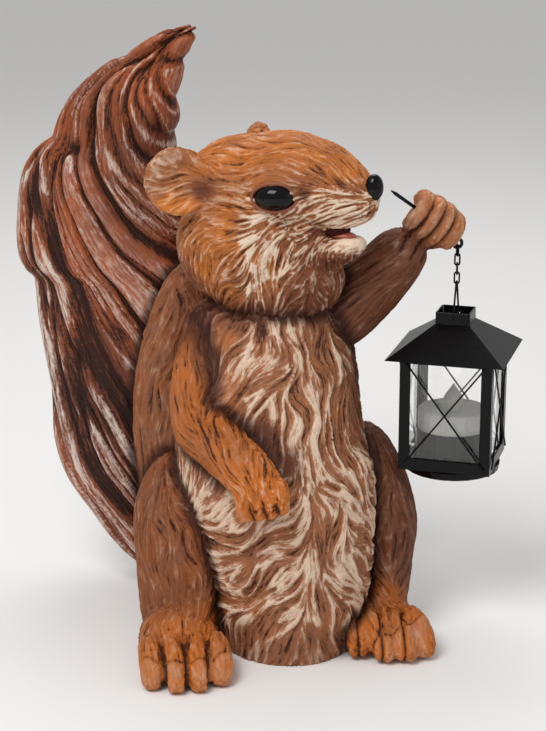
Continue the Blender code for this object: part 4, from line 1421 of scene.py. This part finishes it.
def carve(
    skin: bpy.types.Object, coat: Coat, width: float, length: float, digits: Sequence[Digits] = ()
) -> None:
    """Carves fur into a skin and keeps what its paint reads.

    Args:
        skin: The closed mesh.
        coat: The fur's lie and look.
        width: Grain of the strands in millimetres.
        length: Reach of a strand each way.
        digits: Rows of toes and fingers, which get grooves between them.
    """
    points = Modeller.points(skin) / MM
    normals = Modeller.normals(skin)
    look = coat.look(points)
    depth, broad = look[:, Coat.DEPTH], look[:, Coat.BROAD]
    strands = coat.strands(points, normals, width, length)
    finer = coat.strands(points, normals, 0.55 * width, 0.6 * length, 40)
    broader = coat.strands(points, normals, 1.5 * width, length, 80)
    line = (strands * (1 - broad) + broader * broad) / np.hypot(1 - broad, broad)
    relief = np.clip(VALLEY + RIDGE * np.exp(-((line / RIDGE_WIDTH) ** 2)) + FINEST * finer, 0, 1)
    hollow = hollows(skin, CREASE_ROUNDS)
    height = 1.5 * depth * (relief - 0.6) - CREASE_DEPTH * smooth_step(hollow, 0.6, 2.5)
    fur = np.clip(depth, 0.1, 1)
    relief = 1 - (1 - relief) * np.clip(depth / 0.7, 0, 1)
    lie = coat.lie(points, normals)
    paint = look[:, Coat.PAINT]
    for row in digits:
        between, nail, tip = row.marks(points)
        height -= DIGIT_GROOVE * row.spacing * between + NAIL_EDGE * nail
        relief = (relief + (0.8 - relief) * 0.8 * tip) * (1 - between) * (1 - 0.8 * nail)
        paint[:, 0] += (TIP_CREAM - paint[:, 0]) * tip
        fur *= 1 - 0.4 * tip
    raise_skin(skin, points, normals, height)
    dress_skin(skin, relief, hollow, fur, lie, paint)


def dress_skin(
    skin: bpy.types.Object,
    relief: np.ndarray,
    hollow: np.ndarray,
    fur: np.ndarray,
    lie: np.ndarray,
    paint: np.ndarray,
) -> None:
    """Keeps on a skin what its paint reads.

    Args:
        skin: The mesh.
        relief: 0 in the grooves to 1 on the ridges.
        hollow: Depth in the creases between limbs, in millimetres, which the paint darkens as painted
            shade.
        fur: Strength of the finest strokes.
        lie: Which way the fur lies.
        paint: Cream, glow, and dark wash with painted shade, of each point.
    """
    names = ("relief", "hollow", "fur", "lie", "cream", "glow", "umber_and_shade")
    for name, values in zip(names, (relief, hollow, fur, lie, *paint.T)):
        store(skin, name, values)


def shade_creases(pieces: Sequence[bpy.types.Object], reach: float = 8.0) -> None:
    """Paints shade on each piece where it meets another, by raising the crease value that the paint
    darkens.

    Args:
        pieces: Carved pieces that cross each other.
        reach: How far from another piece the painted shade runs, in millimetres.
    """
    trees = [BVHTree.FromObject(piece, bpy.context.evaluated_depsgraph_get()) for piece in pieces]
    for piece, own in zip(pieces, trees):
        hollow = np.empty(len(piece.data.vertices), np.float32)
        layer = piece.data.attributes["hollow"].data
        layer.foreach_get("value", hollow)
        for index, vertex in enumerate(piece.data.vertices):
            for tree in trees:
                if tree is own:
                    continue
                found = tree.find_nearest(vertex.co, reach * MM)
                if found[3] is not None:
                    # Painted shade: the crease value rises near another piece
                    hollow[index] = max(hollow[index], 3.5 * (1 - found[3] / (reach * MM)))
        layer.foreach_set("value", hollow)


@dataclass(frozen=True)
class Leg:
    """One leg with its foot and the place of its four toes.

    Attributes:
        name: The piece's name.
        thigh: The thigh's rows, as a spine's.
        foot: The foot's rows.
        root: The middle of the toes' roots.
        across: Direction from toe to toe.
        ahead: Direction the toes point.
        strokes: Place, way, reach and fur of its strokes.
    """

    name: str
    thigh: Rows
    foot: Rows
    root: Point
    across: Point
    ahead: Point
    strokes: Sequence[Sequence[object]]


RIGHT_LEG = Leg(
    name="squirrel_right_leg",
    thigh=((-42, 22, 96, 16, 24), (-48, 10, 66, 24, 40), (-50, -2, 32, 23, 46), (-52, -8, -12, 21, 46)),
    foot=((-54, -14, 2, 20, 14), (-59, -38, 11, 22, 16), (-64, -60, 6, 21, 11), (-66, -76, 0, 18, 4)),
    root=(-62, -63, 2),
    across=(1.0, -0.14, 0),
    ahead=(-0.12, -1.0, 0),
    strokes=(
        (-72, 0, 70, 0.1, -0.2, -1, 24, THIGH),
        (-58, -30, 70, 0.3, -0.2, -1, 16, THIGH),
        (-62, -36, 46, 0.1, -0.2, -1, 16, THIGH),
        (-66, 10, 30, 0.1, -0.3, -1, 24, THIGH),
        (-60, -66, 14, -0.12, -1, -0.3, 17, FOOT),
        (-66, -90, 8, -0.12, -1, -0.5, 15, FOOT),
    ),
)
LEFT_LEG = Leg(
    name="squirrel_left_leg",
    thigh=(
        (55, 10, 108, 15, 18),
        (60, 4, 86, 20, 29),
        (63, -9, 56, 22, 40),
        (61, -20, 28, 17, 34),
        (58, -24, -6, 15, 30),
    ),
    foot=((54, -14, 2, 18, 17), (54, -38, 11, 20, 17), (53, -56, 6, 20, 12), (52, -70, 0, 17, 4)),
    root=(51, -57, 3),
    across=(1.0, -0.26, 0),
    ahead=(0.05, -1.0, 0),
    strokes=(
        (86, -6, 70, 0, -0.1, -1, 24, FAR_THIGH),
        (76, -34, 46, -0.1, -0.2, -1, 20, FAR_THIGH),
        (53, -62, 16, 0.05, -1, -0.3, 17, FOOT),
        (53, -84, 8, 0.05, -1, -0.5, 15, FOOT),
    ),
)


@dataclass
class Body:
    """Trunk, legs and arms, each carved on its own so that they meet in crisp creases.

    Attributes:
        torso: The trunk's rows, as a spine's.
        web: Rows of the mass that joins the trunk to the tail.
        legs: Both legs.
        arm_right: Rows of the arm that lies on the belly.
        arm_left: Rows of the raised arm.
        toe_half_width: Half width of a toe.
        toe_spacing: Distance from toe to toe.
        toe_marks: Length and rise of the grooves between toes, and the nails' distance from the tips.
        finger_half_width: Half width of a finger of the right paw.
        finger_spacing: Distance from finger to finger there.
        finger_root: The middle of those fingers' roots.
        finger_across: Direction from finger to finger.
        knuckle_spacing: Distance from finger to finger of the fist.
        fist_centre: The fist's middle, on the rod's line.
        fist_radius: The palm's largest half size, with the skin over it.
        hook_slope: How far the rod leans down towards the lantern, in radians.
        strand_length: Reach of a strand each way.
        trunk_voxel: Grain of the trunk's remesh, halved once afterwards.
        limb_voxel: Grain of the limbs' remesh, halved once afterwards.
    """

    torso: Rows = (
        (2, 3, 212, 28, 26),
        (7, 4, 187, 44, 36),
        (4, 2, 164, 48, 42),
        (3, 0, 142, 50, 47),
        (2, -4, 119, 52, 52),
        (2, -9, 97, 54, 56),
        (5, -15, 75, 54, 59),
        (6, -21, 41, 50, 57),
        (4, -24, 8, 45, 55),
        (4, -24, -30, 41, 52),
    )
    web: Rows = (
        (-14, 36, 6, 26, 34),
        (-26, 46, 50, 34, 34),
        (-32, 52, 100, 38, 30),
        (-32, 52, 145, 34, 26),
        (-30, 50, 185, 22, 16),
        (-30, 50, 200, 12, 8),
    )
    legs: tuple[Leg, Leg] = (RIGHT_LEG, LEFT_LEG)
    arm_right: Rows = (
        (-24, 4, 180, 18, 20),
        (-34, -6, 152, 19, 20),
        (-39, -20, 127, 18, 18),
        (-34, -44, 119, 15, 15),
        (-27, -64, 112, 14, 13),
        (-22, -75, 104, 14, 10),
        (-20, -79, 95, 13, 7.5),
    )
    arm_left: Rows = (
        (30, 2, 172, 24, 24),
        (46, -7, 185, 20, 21),
        (59, -14, 198, 18, 18),
        (70, -19, 212, 16, 16),
        (80, -23, 223, 13, 13),
    )
    toe_half_width: float = 6.6
    toe_spacing: float = 12.25
    toe_marks: Point = (31.0, 32.0, 8.5)
    finger_half_width: float = 4.2
    finger_spacing: float = 6.8
    finger_root: Point = (-22.0, -78.0, 103.0)
    finger_across: Point = (0.93, -0.30, 0.2)
    knuckle_spacing: float = 7.6
    fist_centre: Point = (88.0, -25.5, 232.6)
    fist_radius: float = 15.0
    hook_slope: float = math.radians(35.9)
    strand_length: float = 16.0
    trunk_voxel: float = 2.35
    limb_voxel: float = 1.6

    def toes(self, leg: Leg) -> list[bpy.types.Object]:
        """Makes four toes that bend down to the ground, the outer ones set back.

        Args:
            leg: The leg they belong to.

        Returns:
            The toes.
        """
        made = []
        across = unit(np.array(leg.across, float))
        forward = np.array(leg.ahead, float)
        wide = self.toe_half_width
        for index in range(4):
            offset = index - 1.5
            root = np.array(leg.root, float) + across * offset * self.toe_spacing
            reach = forward * (29 - 3.2 * offset**2)
            rows = [
                (*(root - forward * 8 + UP * 13), wide, 7),
                (*(root + reach * 0.4 + UP * 11.5), wide, 7.5),
                (*(root + reach * 0.8 + UP * 6.5), wide, 7),
                (*(root + reach - UP * 1.5), wide - 1.2, 6),
            ]
            made.append(Spine(rows, tuple(across)).mass(rings=28, segments=20))
        return made

    def fingers(self) -> list[bpy.types.Object]:
        """Makes four fingers of the right paw, bent down over the belly.

        Returns:
            The fingers.
        """
        made = []
        across = unit(np.array(self.finger_across))
        wide = self.finger_half_width
        for index in range(4):
            offset = index - 1.5
            root = np.array(self.finger_root) + across * offset * self.finger_spacing
            rows = [
                (*(root + np.array([0, 3, 6])), wide, 6),
                (*(root + np.array([0, -2, -3])), wide, 5.5),
                (*(root + np.array([0.6, 0, -10 + abs(offset)])), wide, 5),
                (*(root + np.array([0.6, 4, -15 + 1.5 * abs(offset)])), wide - 0.6, 4),
            ]
            made.append(Spine(rows, tuple(across)).mass(rings=24, segments=18))
        return made

    def fist(self) -> list[bpy.types.Object]:
        """Makes a closed fist: a palm, and four fingers curled round the rod's line.

        Returns:
            The palm and the fingers.
        """
        rod = np.array([math.cos(self.hook_slope), 0.0, -math.sin(self.hook_slope)])
        outward = np.array([math.sin(self.hook_slope), 0.0, math.cos(self.hook_slope)])
        toward = np.array([0.0, -1.0, 0.0])
        centre = np.array(self.fist_centre)
        half = (self.fist_radius - 1, self.fist_radius - 4, self.fist_radius - 3)
        made = [ellipsoid(centre - outward * 3, half, (rod, toward, outward))]
        for index in range(4):
            offset = index - 1.5
            knuckle = centre + rod * offset * self.knuckle_spacing
            curl = 10.4 - 0.8 * offset**2
            rows = []
            for turn in np.linspace(math.radians(-60), math.radians(185 - 12 * index), 7):
                spot = knuckle + outward * curl * math.cos(turn) + toward * curl * math.sin(turn)
                rows.append((*spot, 4.3, 4.8))
            made.append(Spine(rows, tuple(rod)).mass(rings=36, segments=18))
        return made

    def trunk_strokes(self) -> list[Comb]:
        """Combs the trunk: down the chest and back, and fanned over the belly.

        Returns:
            The strokes.
        """
        rows = [
            # SHADE rows: painted shade under the chin, and beside and under the right arm
            (10, -36, 198, 0.15, 0, -1, 18, SHADE),
            (-26, -30, 196, 0.15, 0, -1, 14, SHADE),
            (36, -30, 196, 0.15, 0, -1, 12, SHADE),
            (-36, -36, 178, -0.6, 0.1, -1, 15, NEAR_ARM),
            (-32, -44, 152, -0.5, 0.1, -1, 13, NEAR_ARM),
            (-18, -52, 126, 0.3, 0, -1, 14, SHADE),
            (-2, -60, 110, 0.3, 0, -1, 12, SHADE),
            (-36, -46, 98, -0.5, 0.2, -0.9, 8, SHADE),
            (5, -44, 182, 0.15, 0, -1, 18, CHEST),
            (-14, -42, 165, -0.5, 0.1, -1, 20, CHEST),
            (25, -45, 160, 0.2, 0, -1, 22, CHEST),
            (-8, -50, 145, -0.5, 0.1, -0.8, 14, CURLS),
            (14, -55, 138, 0.1, 0, -1, 18, CURLS),
            (12, -62, 112, 0.1, 0, -1, 12, CHEST),
            (-12, -64, 96, -0.7, 0.2, -0.7, 14, BELLY),
            (-32, -54, 86, -0.95, 0.2, -0.3, 18, BELLY),
            (0, -70, 82, -0.45, 0, -0.9, 9, BELLY),
            (-16, -70, 72, -0.85, 0.1, -0.5, 16, BELLY),
            (-38, -52, 64, -1, 0.2, -0.15, 20, BELLY),
            (-16, -72, 50, -0.9, 0.1, -0.5, 16, BELLY),
            (-36, -56, 40, -1, 0.2, -0.3, 18, BELLY),
            (-10, -74, 30, -0.5, 0.1, -0.8, 14, BELLY),
            (26, -66, 98, 0.5, 0.2, -0.8, 14, CURLS),
            (44, -54, 92, 0.6, 0.2, -0.75, 16, CURLS),
            (20, -70, 80, 0.4, 0, -0.9, 10, CURLS),
            (38, -64, 70, 0.75, 0.2, -0.6, 18, CURLS),
            (48, -54, 52, 0.7, 0.2, -0.7, 16, CURLS),
            (26, -74, 48, 0.6, 0.1, -0.8, 16, CURLS),
            (38, -62, 30, 0.5, 0.1, -0.8, 14, CURLS),
            (10, -76, 60, 0.05, 0, -1, 9, BELLY),
            (10, -78, 36, 0, 0, -1, 10, BELLY),
            (6, -78, 14, 0, 0, -1, 13, HEM),
            (4, -76, 0, 0, 0, -1, 12, HEM),
            (-34, -56, 8, -0.3, 0, -1, 14, HEM),
            (44, -56, 8, 0.3, 0, -1, 14, HEM),
            (-46, -4, 170, 0, 0, -1, 18, FLANK),
            (54, 0, 150, 0, 0, -1, 22, FLANK),
            (10, 50, 170, 0, 0, -1, 36, BACK),
            (30, 45, 70, 0.2, 0.1, -1, 40, BACK),
            (-40, 70, 120, 0, 0.1, -1, 36, BACK),
        ]
        return combed(rows)

    def carved(
        self,
        name: str,
        masses: Sequence[bpy.types.Object],
        strokes: Sequence[Comb],
        width: float,
        voxel: float,
        digits: Sequence[Digits] = (),
    ) -> bpy.types.Object:
        """Melts, cuts flat and carves one part of the body.

        Args:
            name: The piece's name.
            masses: The part's masses.
            strokes: How its fur is combed.
            width: Grain of its strands in millimetres.
            voxel: Grain of its remesh.
            digits: Its toes or fingers.

        Returns:
            The carved piece, still unpainted.
        """
        skin = Modeller.melt(masses, name, voxel, 2, 1)
        self.cut_flat(skin)
        carve(skin, Coat(strokes, Modeller.points(skin) / MM), width, self.strand_length, digits)
        return skin

    def trunk(self) -> bpy.types.Object:
        """Builds the trunk with the mass that joins it to the tail.

        Returns:
            The carved piece.
        """
        across = (-math.cos(math.pi / 4), -math.sin(math.pi / 4), 0)
        masses = [Spine(self.torso, (1, 0, 0)).mass(), Spine(self.web, across).mass()]
        return self.carved("squirrel_trunk", masses, self.trunk_strokes(), 2.9, self.trunk_voxel)

    def leg(self, leg: Leg) -> bpy.types.Object:
        """Builds a leg with its foot.

        Args:
            leg: Which leg.

        Returns:
            The carved piece.
        """
        masses = [Spine(rows, (1, 0, 0)).mass() for rows in (leg.thigh, leg.foot)]
        masses += self.toes(leg)
        digits = [Digits(leg.root, leg.across, leg.ahead, self.toe_spacing, *self.toe_marks)]
        return self.carved(leg.name, masses, combed(leg.strokes), 2.2, self.limb_voxel, digits)

    def right_arm(self) -> bpy.types.Object:
        """Builds the arm on the belly with its paw.

        Returns:
            The carved piece.
        """
        paw = [(-22, -78, 94, 0, -0.2, -1, 13, PAW), (-25, -70, 108, 0.2, -0.7, -0.4, 11, PAW)]
        arm = Spine(self.arm_right, (1, 0, 0))
        # The paw's own strokes take over after the arm's fifth row
        strokes = table_strokes(arm, NEAR_ARM, 1.0)[:5] + combed(paw)
        digits = [Digits((-22, -80, 100), self.finger_across, (0, -0.1, -1), self.finger_spacing, 14, 14)]
        masses = [arm.mass(), *self.fingers()]
        return self.carved("squirrel_right_arm", masses, strokes, 2.0, self.limb_voxel, digits)

    def left_arm(self) -> bpy.types.Object:
        """Builds the raised arm with its fist.

        Returns:
            The carved piece.
        """
        slope = self.hook_slope
        rod = (math.cos(slope), 0.0, -math.sin(slope))
        down = (-0.35 * math.sin(slope), -0.9, -0.35 * math.cos(slope))
        front = tuple(np.array(self.fist_centre) + np.array([0, -4, 2]))
        arm = Spine(self.arm_left, (0, 1, 0))
        strokes = table_strokes(arm, FAR_ARM) + combed([(*self.fist_centre, 0.5, 0, 0.8, 18, FIST)])
        digits = [Digits(front, rod, down, self.knuckle_spacing, 16, 24)]
        masses = [arm.mass(), *self.fist()]
        return self.carved("squirrel_left_arm", masses, strokes, 2.0, self.limb_voxel, digits)

    def build(self) -> list[bpy.types.Object]:
        """Builds, carves and paints the trunk and limbs.

        Returns:
            The pieces of the body.
        """
        pieces = [self.trunk(), *map(self.leg, self.legs), self.right_arm(), self.left_arm()]
        paint = BODY_PAINT.material()
        for piece in pieces:
            piece.data.materials.append(paint)
        return pieces

    @staticmethod
    def cut_flat(skin: bpy.types.Object) -> None:
        """Cuts a piece flat where the figure stands.

        Args:
            skin: The piece.
        """
        Modeller.choose(skin)
        bpy.ops.object.mode_set(mode="EDIT")
        bpy.ops.mesh.select_all(action="SELECT")
        bpy.ops.mesh.bisect(plane_co=(0, 0, 0), plane_no=(0, 0, 1), use_fill=True, clear_inner=True)
        bpy.ops.object.mode_set(mode="OBJECT")


@dataclass
class Tail:
    """The tail: a broad plume whose long locks sweep out from its inner edge and up to its tip.

    Attributes:
        turn: The way its broad side is turned, in degrees.
        rows: Level sections, as a spine's.
        sweep: Height that a lock climbs while it crosses the tail, in millimetres.
        outer: How near to the outer edge a lock comes; 1 is the edge itself.
        sway: How far locks swing aside and how long those swings are, for wide and narrow ones.
        lobes: Width and length of the grain of the broad locks.
        strands: Width and length of the grain of the strands on them.
        hairs: Width and length of the grain of the finest strands.
        voxel: Grain of the remesh, halved once afterwards.
    """

    turn: float = 45.0
    rows: Rows = (
        (-50, 59, 12, 19, 18),
        (-56, 69, 31, 28, 24),
        (-59, 74, 49, 36, 28),
        (-66, 82, 73, 42, 31),
        (-66, 91, 108, 46, 32),
        (-66, 99, 144, 51, 31),
        (-65, 103, 174, 53, 30),
        (-66, 105, 183, 56, 29),
        (-69, 107, 191, 61, 29),
        (-70, 109, 217, 58, 28),
        (-70, 107, 239, 55, 27),
        (-68, 105, 253, 49, 26),
        (-65, 102, 262, 42, 25),
        (-64, 99, 268, 39, 24),
        (-61, 94, 282, 38, 22),
        (-56, 88, 297, 31, 19),
        (-47, 79, 312, 23, 16),
        (-37, 68, 325, 15, 12),
        (-25, 60, 334, 7, 7),
    )
    sweep: float = 150.0
    outer: float = 1.24
    sway: tuple[tuple[float, float], ...] = ((7.0, 42.0), (2.2, 13.0))
    lobes: tuple[float, float] = (13.0, 190.0)
    strands: tuple[float, float] = (5.0, 130.0)
    hairs: tuple[float, float] = (1.5, 50.0)
    voxel: float = 2.16

    def across(self) -> np.ndarray:
        """Returns the direction across the tail's broad side, towards its inner edge."""
        turn = math.radians(self.turn)
        return np.array([math.cos(turn), -math.sin(turn), 0.0])

    def flow(self, spine: Spine, points: np.ndarray) -> tuple[np.ndarray, np.ndarray, np.ndarray]:
        """Follows the locks through the tail.

        Args:
            spine: The tail's spine.
            points: Places in millimetres.

        Returns:
            For each place the height at which its lock leaves the inner edge, how fast that
            changes across the locks, and which way the lock runs.
        """
        shares = np.linspace(0, 1, 400)
        rows = spine.along(shares)
        share = np.interp(points[:, 2], rows[:, 2], shares)
        here = spine.along(share)
        width = 2 * np.maximum(here[:, 3], 4)
        beside = (points - here[:, :3]) @ self.across()
        crossed = np.clip(0.5 - beside / width, 0, 1)
        left = self.outer - crossed
        start = points[:, 2] + self.sweep * np.log(left / self.outer)
        steep = self.sweep / (left * width)
        heading = spine.heading(share)
        climb = heading / np.maximum(heading[:, 2:], 0.4)
        way = unit(climb - self.across() * (1 / steep)[:, None])
        return start, np.hypot(1, steep), way

    @staticmethod
    def locks(
        noise: Noise,
        points: np.ndarray,
        start: np.ndarray,
        steep: np.ndarray,
        grain: tuple[float, float],
    ) -> np.ndarray:
        """Draws noise along the locks, with its grain as wide wherever they are crowded.

        Args:
            noise: The noise.
            points: Places in millimetres.
            start: Where each place's lock starts.
            steep: How fast that changes across the locks.
            grain: Width and length of the grain in millimetres.

        Returns:
            The noise at each place.
        """
        width, length = grain
        octave = np.clip(np.log2(steep), 0, 4)
        total = np.zeros(len(points))
        for level in range(5):
            share = np.clip(1 - np.abs(octave - level), 0, 1)
            across = start / (width * 2**level)
            spots = np.column_stack([across, points[:, 2] / length, points[:, 1] / 90 + 3.7 * level])
            total += share * noise.at(spots)
        return total

    @staticmethod
    def swell(value: np.ndarray, width: float) -> np.ndarray:
        """Returns 0 where noise passes through zero, and 1 from a width on to each side."""
        return np.clip(np.abs(value) / width, 0, 1) ** 0.8

    @staticmethod
    def rim(value: np.ndarray, width: float) -> np.ndarray:
        """Returns 1 on a narrow line beside the places where noise passes through zero."""
        return np.exp(-(((value - 0.17) / width) ** 2))

    def build(self) -> list[bpy.types.Object]:
        """Builds, carves and paints the tail.

        Returns:
            The tail piece in a list.
        """
        spine = Spine(self.rows, tuple(self.across()), level=True)
        skin = Modeller.melt([spine.mass(segments=48)], "squirrel_tail", self.voxel, 2, 1)
        points = Modeller.points(skin) / MM
        normals = Modeller.normals(skin)
        noise = Noise(SEED)
        start, steep, way = self.flow(spine, points)
        for far, length in self.sway:
            start = start + far * noise.at(points / length)
        broad = self.locks(noise, points, start, steep, self.lobes)
        middle = self.locks(noise, points + 50, start + 31, steep, self.strands)
        fine = self.locks(noise, points + 90, start + 67, steep, self.hairs)
        lobe, strand = self.swell(broad, 0.36), self.swell(middle, 0.3)
        rim = self.rim(broad, 0.07) + 0.7 * self.rim(middle, 0.06)
        height = 5.5 * (lobe - 0.75) + 2.6 * (strand - 0.8) + 0.4 * fine + 0.7 * rim
        relief = np.minimum(lobe, 0.25 + 0.75 * strand) * 0.8 + 0.15 * fine + 0.25 * rim
        lie = along_skin(way, normals)
        hollow = hollows(skin, 20)
        fur = np.full(len(points), 0.8)
        raise_skin(skin, points, normals, height)
        patches = noise.at(points / 55 + 9)
        cream = 0.65 + 0.5 * patches + 0.6 * np.clip(rim, 0, 1)
        glow = 0.25 + 0.35 * smooth_step(points[:, 2], 150, 300) + 0.4 * noise.at(points / 30 + 21)
        umber_and_shade = 0.3 + 0.45 * noise.at(points / 38 + 33)
        dress_skin(skin, relief, hollow, fur, lie, np.column_stack([cream, glow, umber_and_shade]))
        skin.data.materials.append(TAIL_PAINT.material())
        return [skin]


@dataclass
class Lantern:
    """The lantern's solids, dressed in paint, glass and plastic.

    Attributes:
        steel: Nodes of painted sheet.
        wire: Nodes of blackened wire, apart from the chain links and the crossed wires.
    """

    steel: tuple[str, ...] = ("lantern_roof", "roof_collar", "lantern_frame", "lantern_base")
    wire: tuple[str, ...] = ("lantern_hook", "lantern_bail")

    def dress(self) -> None:
        """Gives each of the lantern's solids its finish."""
        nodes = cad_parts
        paint, wire, glass = BLACK_PAINT.material(), BLACK_WIRE.material(), ClearGlass().material()
        for name, thing in nodes.items():
            if name in self.steel:
                self.cover(thing, paint)
            elif name.startswith(("chain_link", "cross_wires")) or name in self.wire:
                self.cover(thing, wire)
            elif name.startswith("glass_"):
                self.cover(thing, glass)
        self.cover(nodes["tealight_body"], WHITE_SHELL.material())
        self.cover(nodes["tealight_flame"], MILKY_FLAME.material())

    @staticmethod
    def cover(thing: bpy.types.Object, material: bpy.types.Material) -> None:
        """Puts one material on a solid."""
        thing.data.materials.clear()
        thing.data.materials.append(material)


@dataclass
class Studio:
    """Floor, soft lights and the camera at the photograph's angle.

    Attributes:
        azimuth: Where the camera stands round the figure, in degrees.
        elevation: How far it looks down, in degrees.
        distance: Its distance from the point it looks at, in metres.
        target: The point it looks at.
        focal: Focal length as a share of the image's height.
        sensor: Width of the camera's sensor in millimetres.
        softboxes: Each light's name, azimuth and elevation in degrees, distance and width in
            metres, and power in watts.
        sky: Strength of the even white light from all sides.
        floor_size: Width of the floor in metres.
    """

    azimuth: float = -15.0
    elevation: float = 16.0
    distance: float = 1.064
    target: tuple[float, float, float] = (0.005, 0.0, 0.150)
    focal: float = 1900 / 731
    sensor: float = 36.0
    softboxes: tuple[tuple[str, float, float, float, float, float], ...] = (
        ("key", -48, 52, 1.3, 0.6, 9.5),
        ("fill", 45, 15, 1.7, 1.0, 1),
        ("back", 160, 55, 1.4, 0.8, 5),
    )
    sky: float = 0.5
    floor_size: float = 14.0

    def direction(self, azimuth: float, elevation: float) -> Vector:
        """Turns two angles in degrees into the unit direction from the figure to a place round it."""
        turn, rise = math.radians(azimuth), math.radians(elevation)
        return Vector((math.sin(turn) * math.cos(rise), -math.cos(turn) * math.cos(rise), math.sin(rise)))

    def camera(self) -> None:
        """Sets up the camera."""
        data = bpy.data.cameras.new("camera")
        data.sensor_width = self.sensor
        data.lens = self.sensor * self.focal
        data.clip_start = 0.01
        thing = bpy.data.objects.new("camera", data)
        bpy.context.scene.collection.objects.link(thing)
        away = self.direction(self.azimuth, self.elevation)
        thing.location = Vector(self.target) + away * self.distance
        thing.rotation_euler = (-away).to_track_quat("-Z", "Y").to_euler()
        bpy.context.scene.camera = thing

    def light(
        self, name: str, azimuth: float, elevation: float, away: float, size: float, power: float
    ) -> None:
        """Adds one soft light that faces the figure.

        Args:
            name: The light's name.
            azimuth: Where it stands, in degrees.
            elevation: How high, in degrees.
            away: Its distance in metres.
            size: Width of the square softbox in metres.
            power: Its power in watts.
        """
        data = bpy.data.lights.new(name, "AREA")
        data.size = size
        data.energy = power
        thing = bpy.data.objects.new(name, data)
        bpy.context.scene.collection.objects.link(thing)
        direction = self.direction(azimuth, elevation)
        thing.location = Vector(self.target) + direction * away
        thing.rotation_euler = (-direction).to_track_quat("-Z", "Y").to_euler()

    def build(self) -> None:
        """Builds the studio."""
        self.camera()
        for softbox in self.softboxes:
            self.light(*softbox)
        world = bpy.data.worlds.new("studio")
        bpy.context.scene.world = world
        world.use_nodes = True
        background = world.node_tree.nodes["Background"]
        background.inputs["Color"].default_value = linear("FFFFFF")
        background.inputs["Strength"].default_value = self.sky
        # The paints keep their own colours only without a film-like curve
        bpy.context.scene.view_settings.view_transform = "Standard"
        Modeller.deselect()
        bpy.ops.mesh.primitive_plane_add(size=self.floor_size)
        floor = bpy.context.object
        floor.name = "floor"
        material, _, shader = blank_material("pale_floor")
        shader.inputs["Base Color"].default_value = linear("F4F3F1")
        shader.inputs["Roughness"].default_value = 0.9
        floor.data.materials.append(material)


def main() -> None:
    """Builds the figure, dresses the lantern and sets up the studio."""
    logging.basicConfig(level=logging.INFO, format="%(message)s")
    head, body, tail = Head().build(), Body().build(), Tail().build()
    shade_creases([head[0], *body, *tail])
    figure = [*head, *body, *tail]
    for piece in figure:
        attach(piece, "root")
        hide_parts("squirrel")
        LOG.info("%s: %d faces", piece.name, len(piece.data.polygons))
    Lantern().dress()
    Studio().build()


if __name__ == "__main__":
    main()
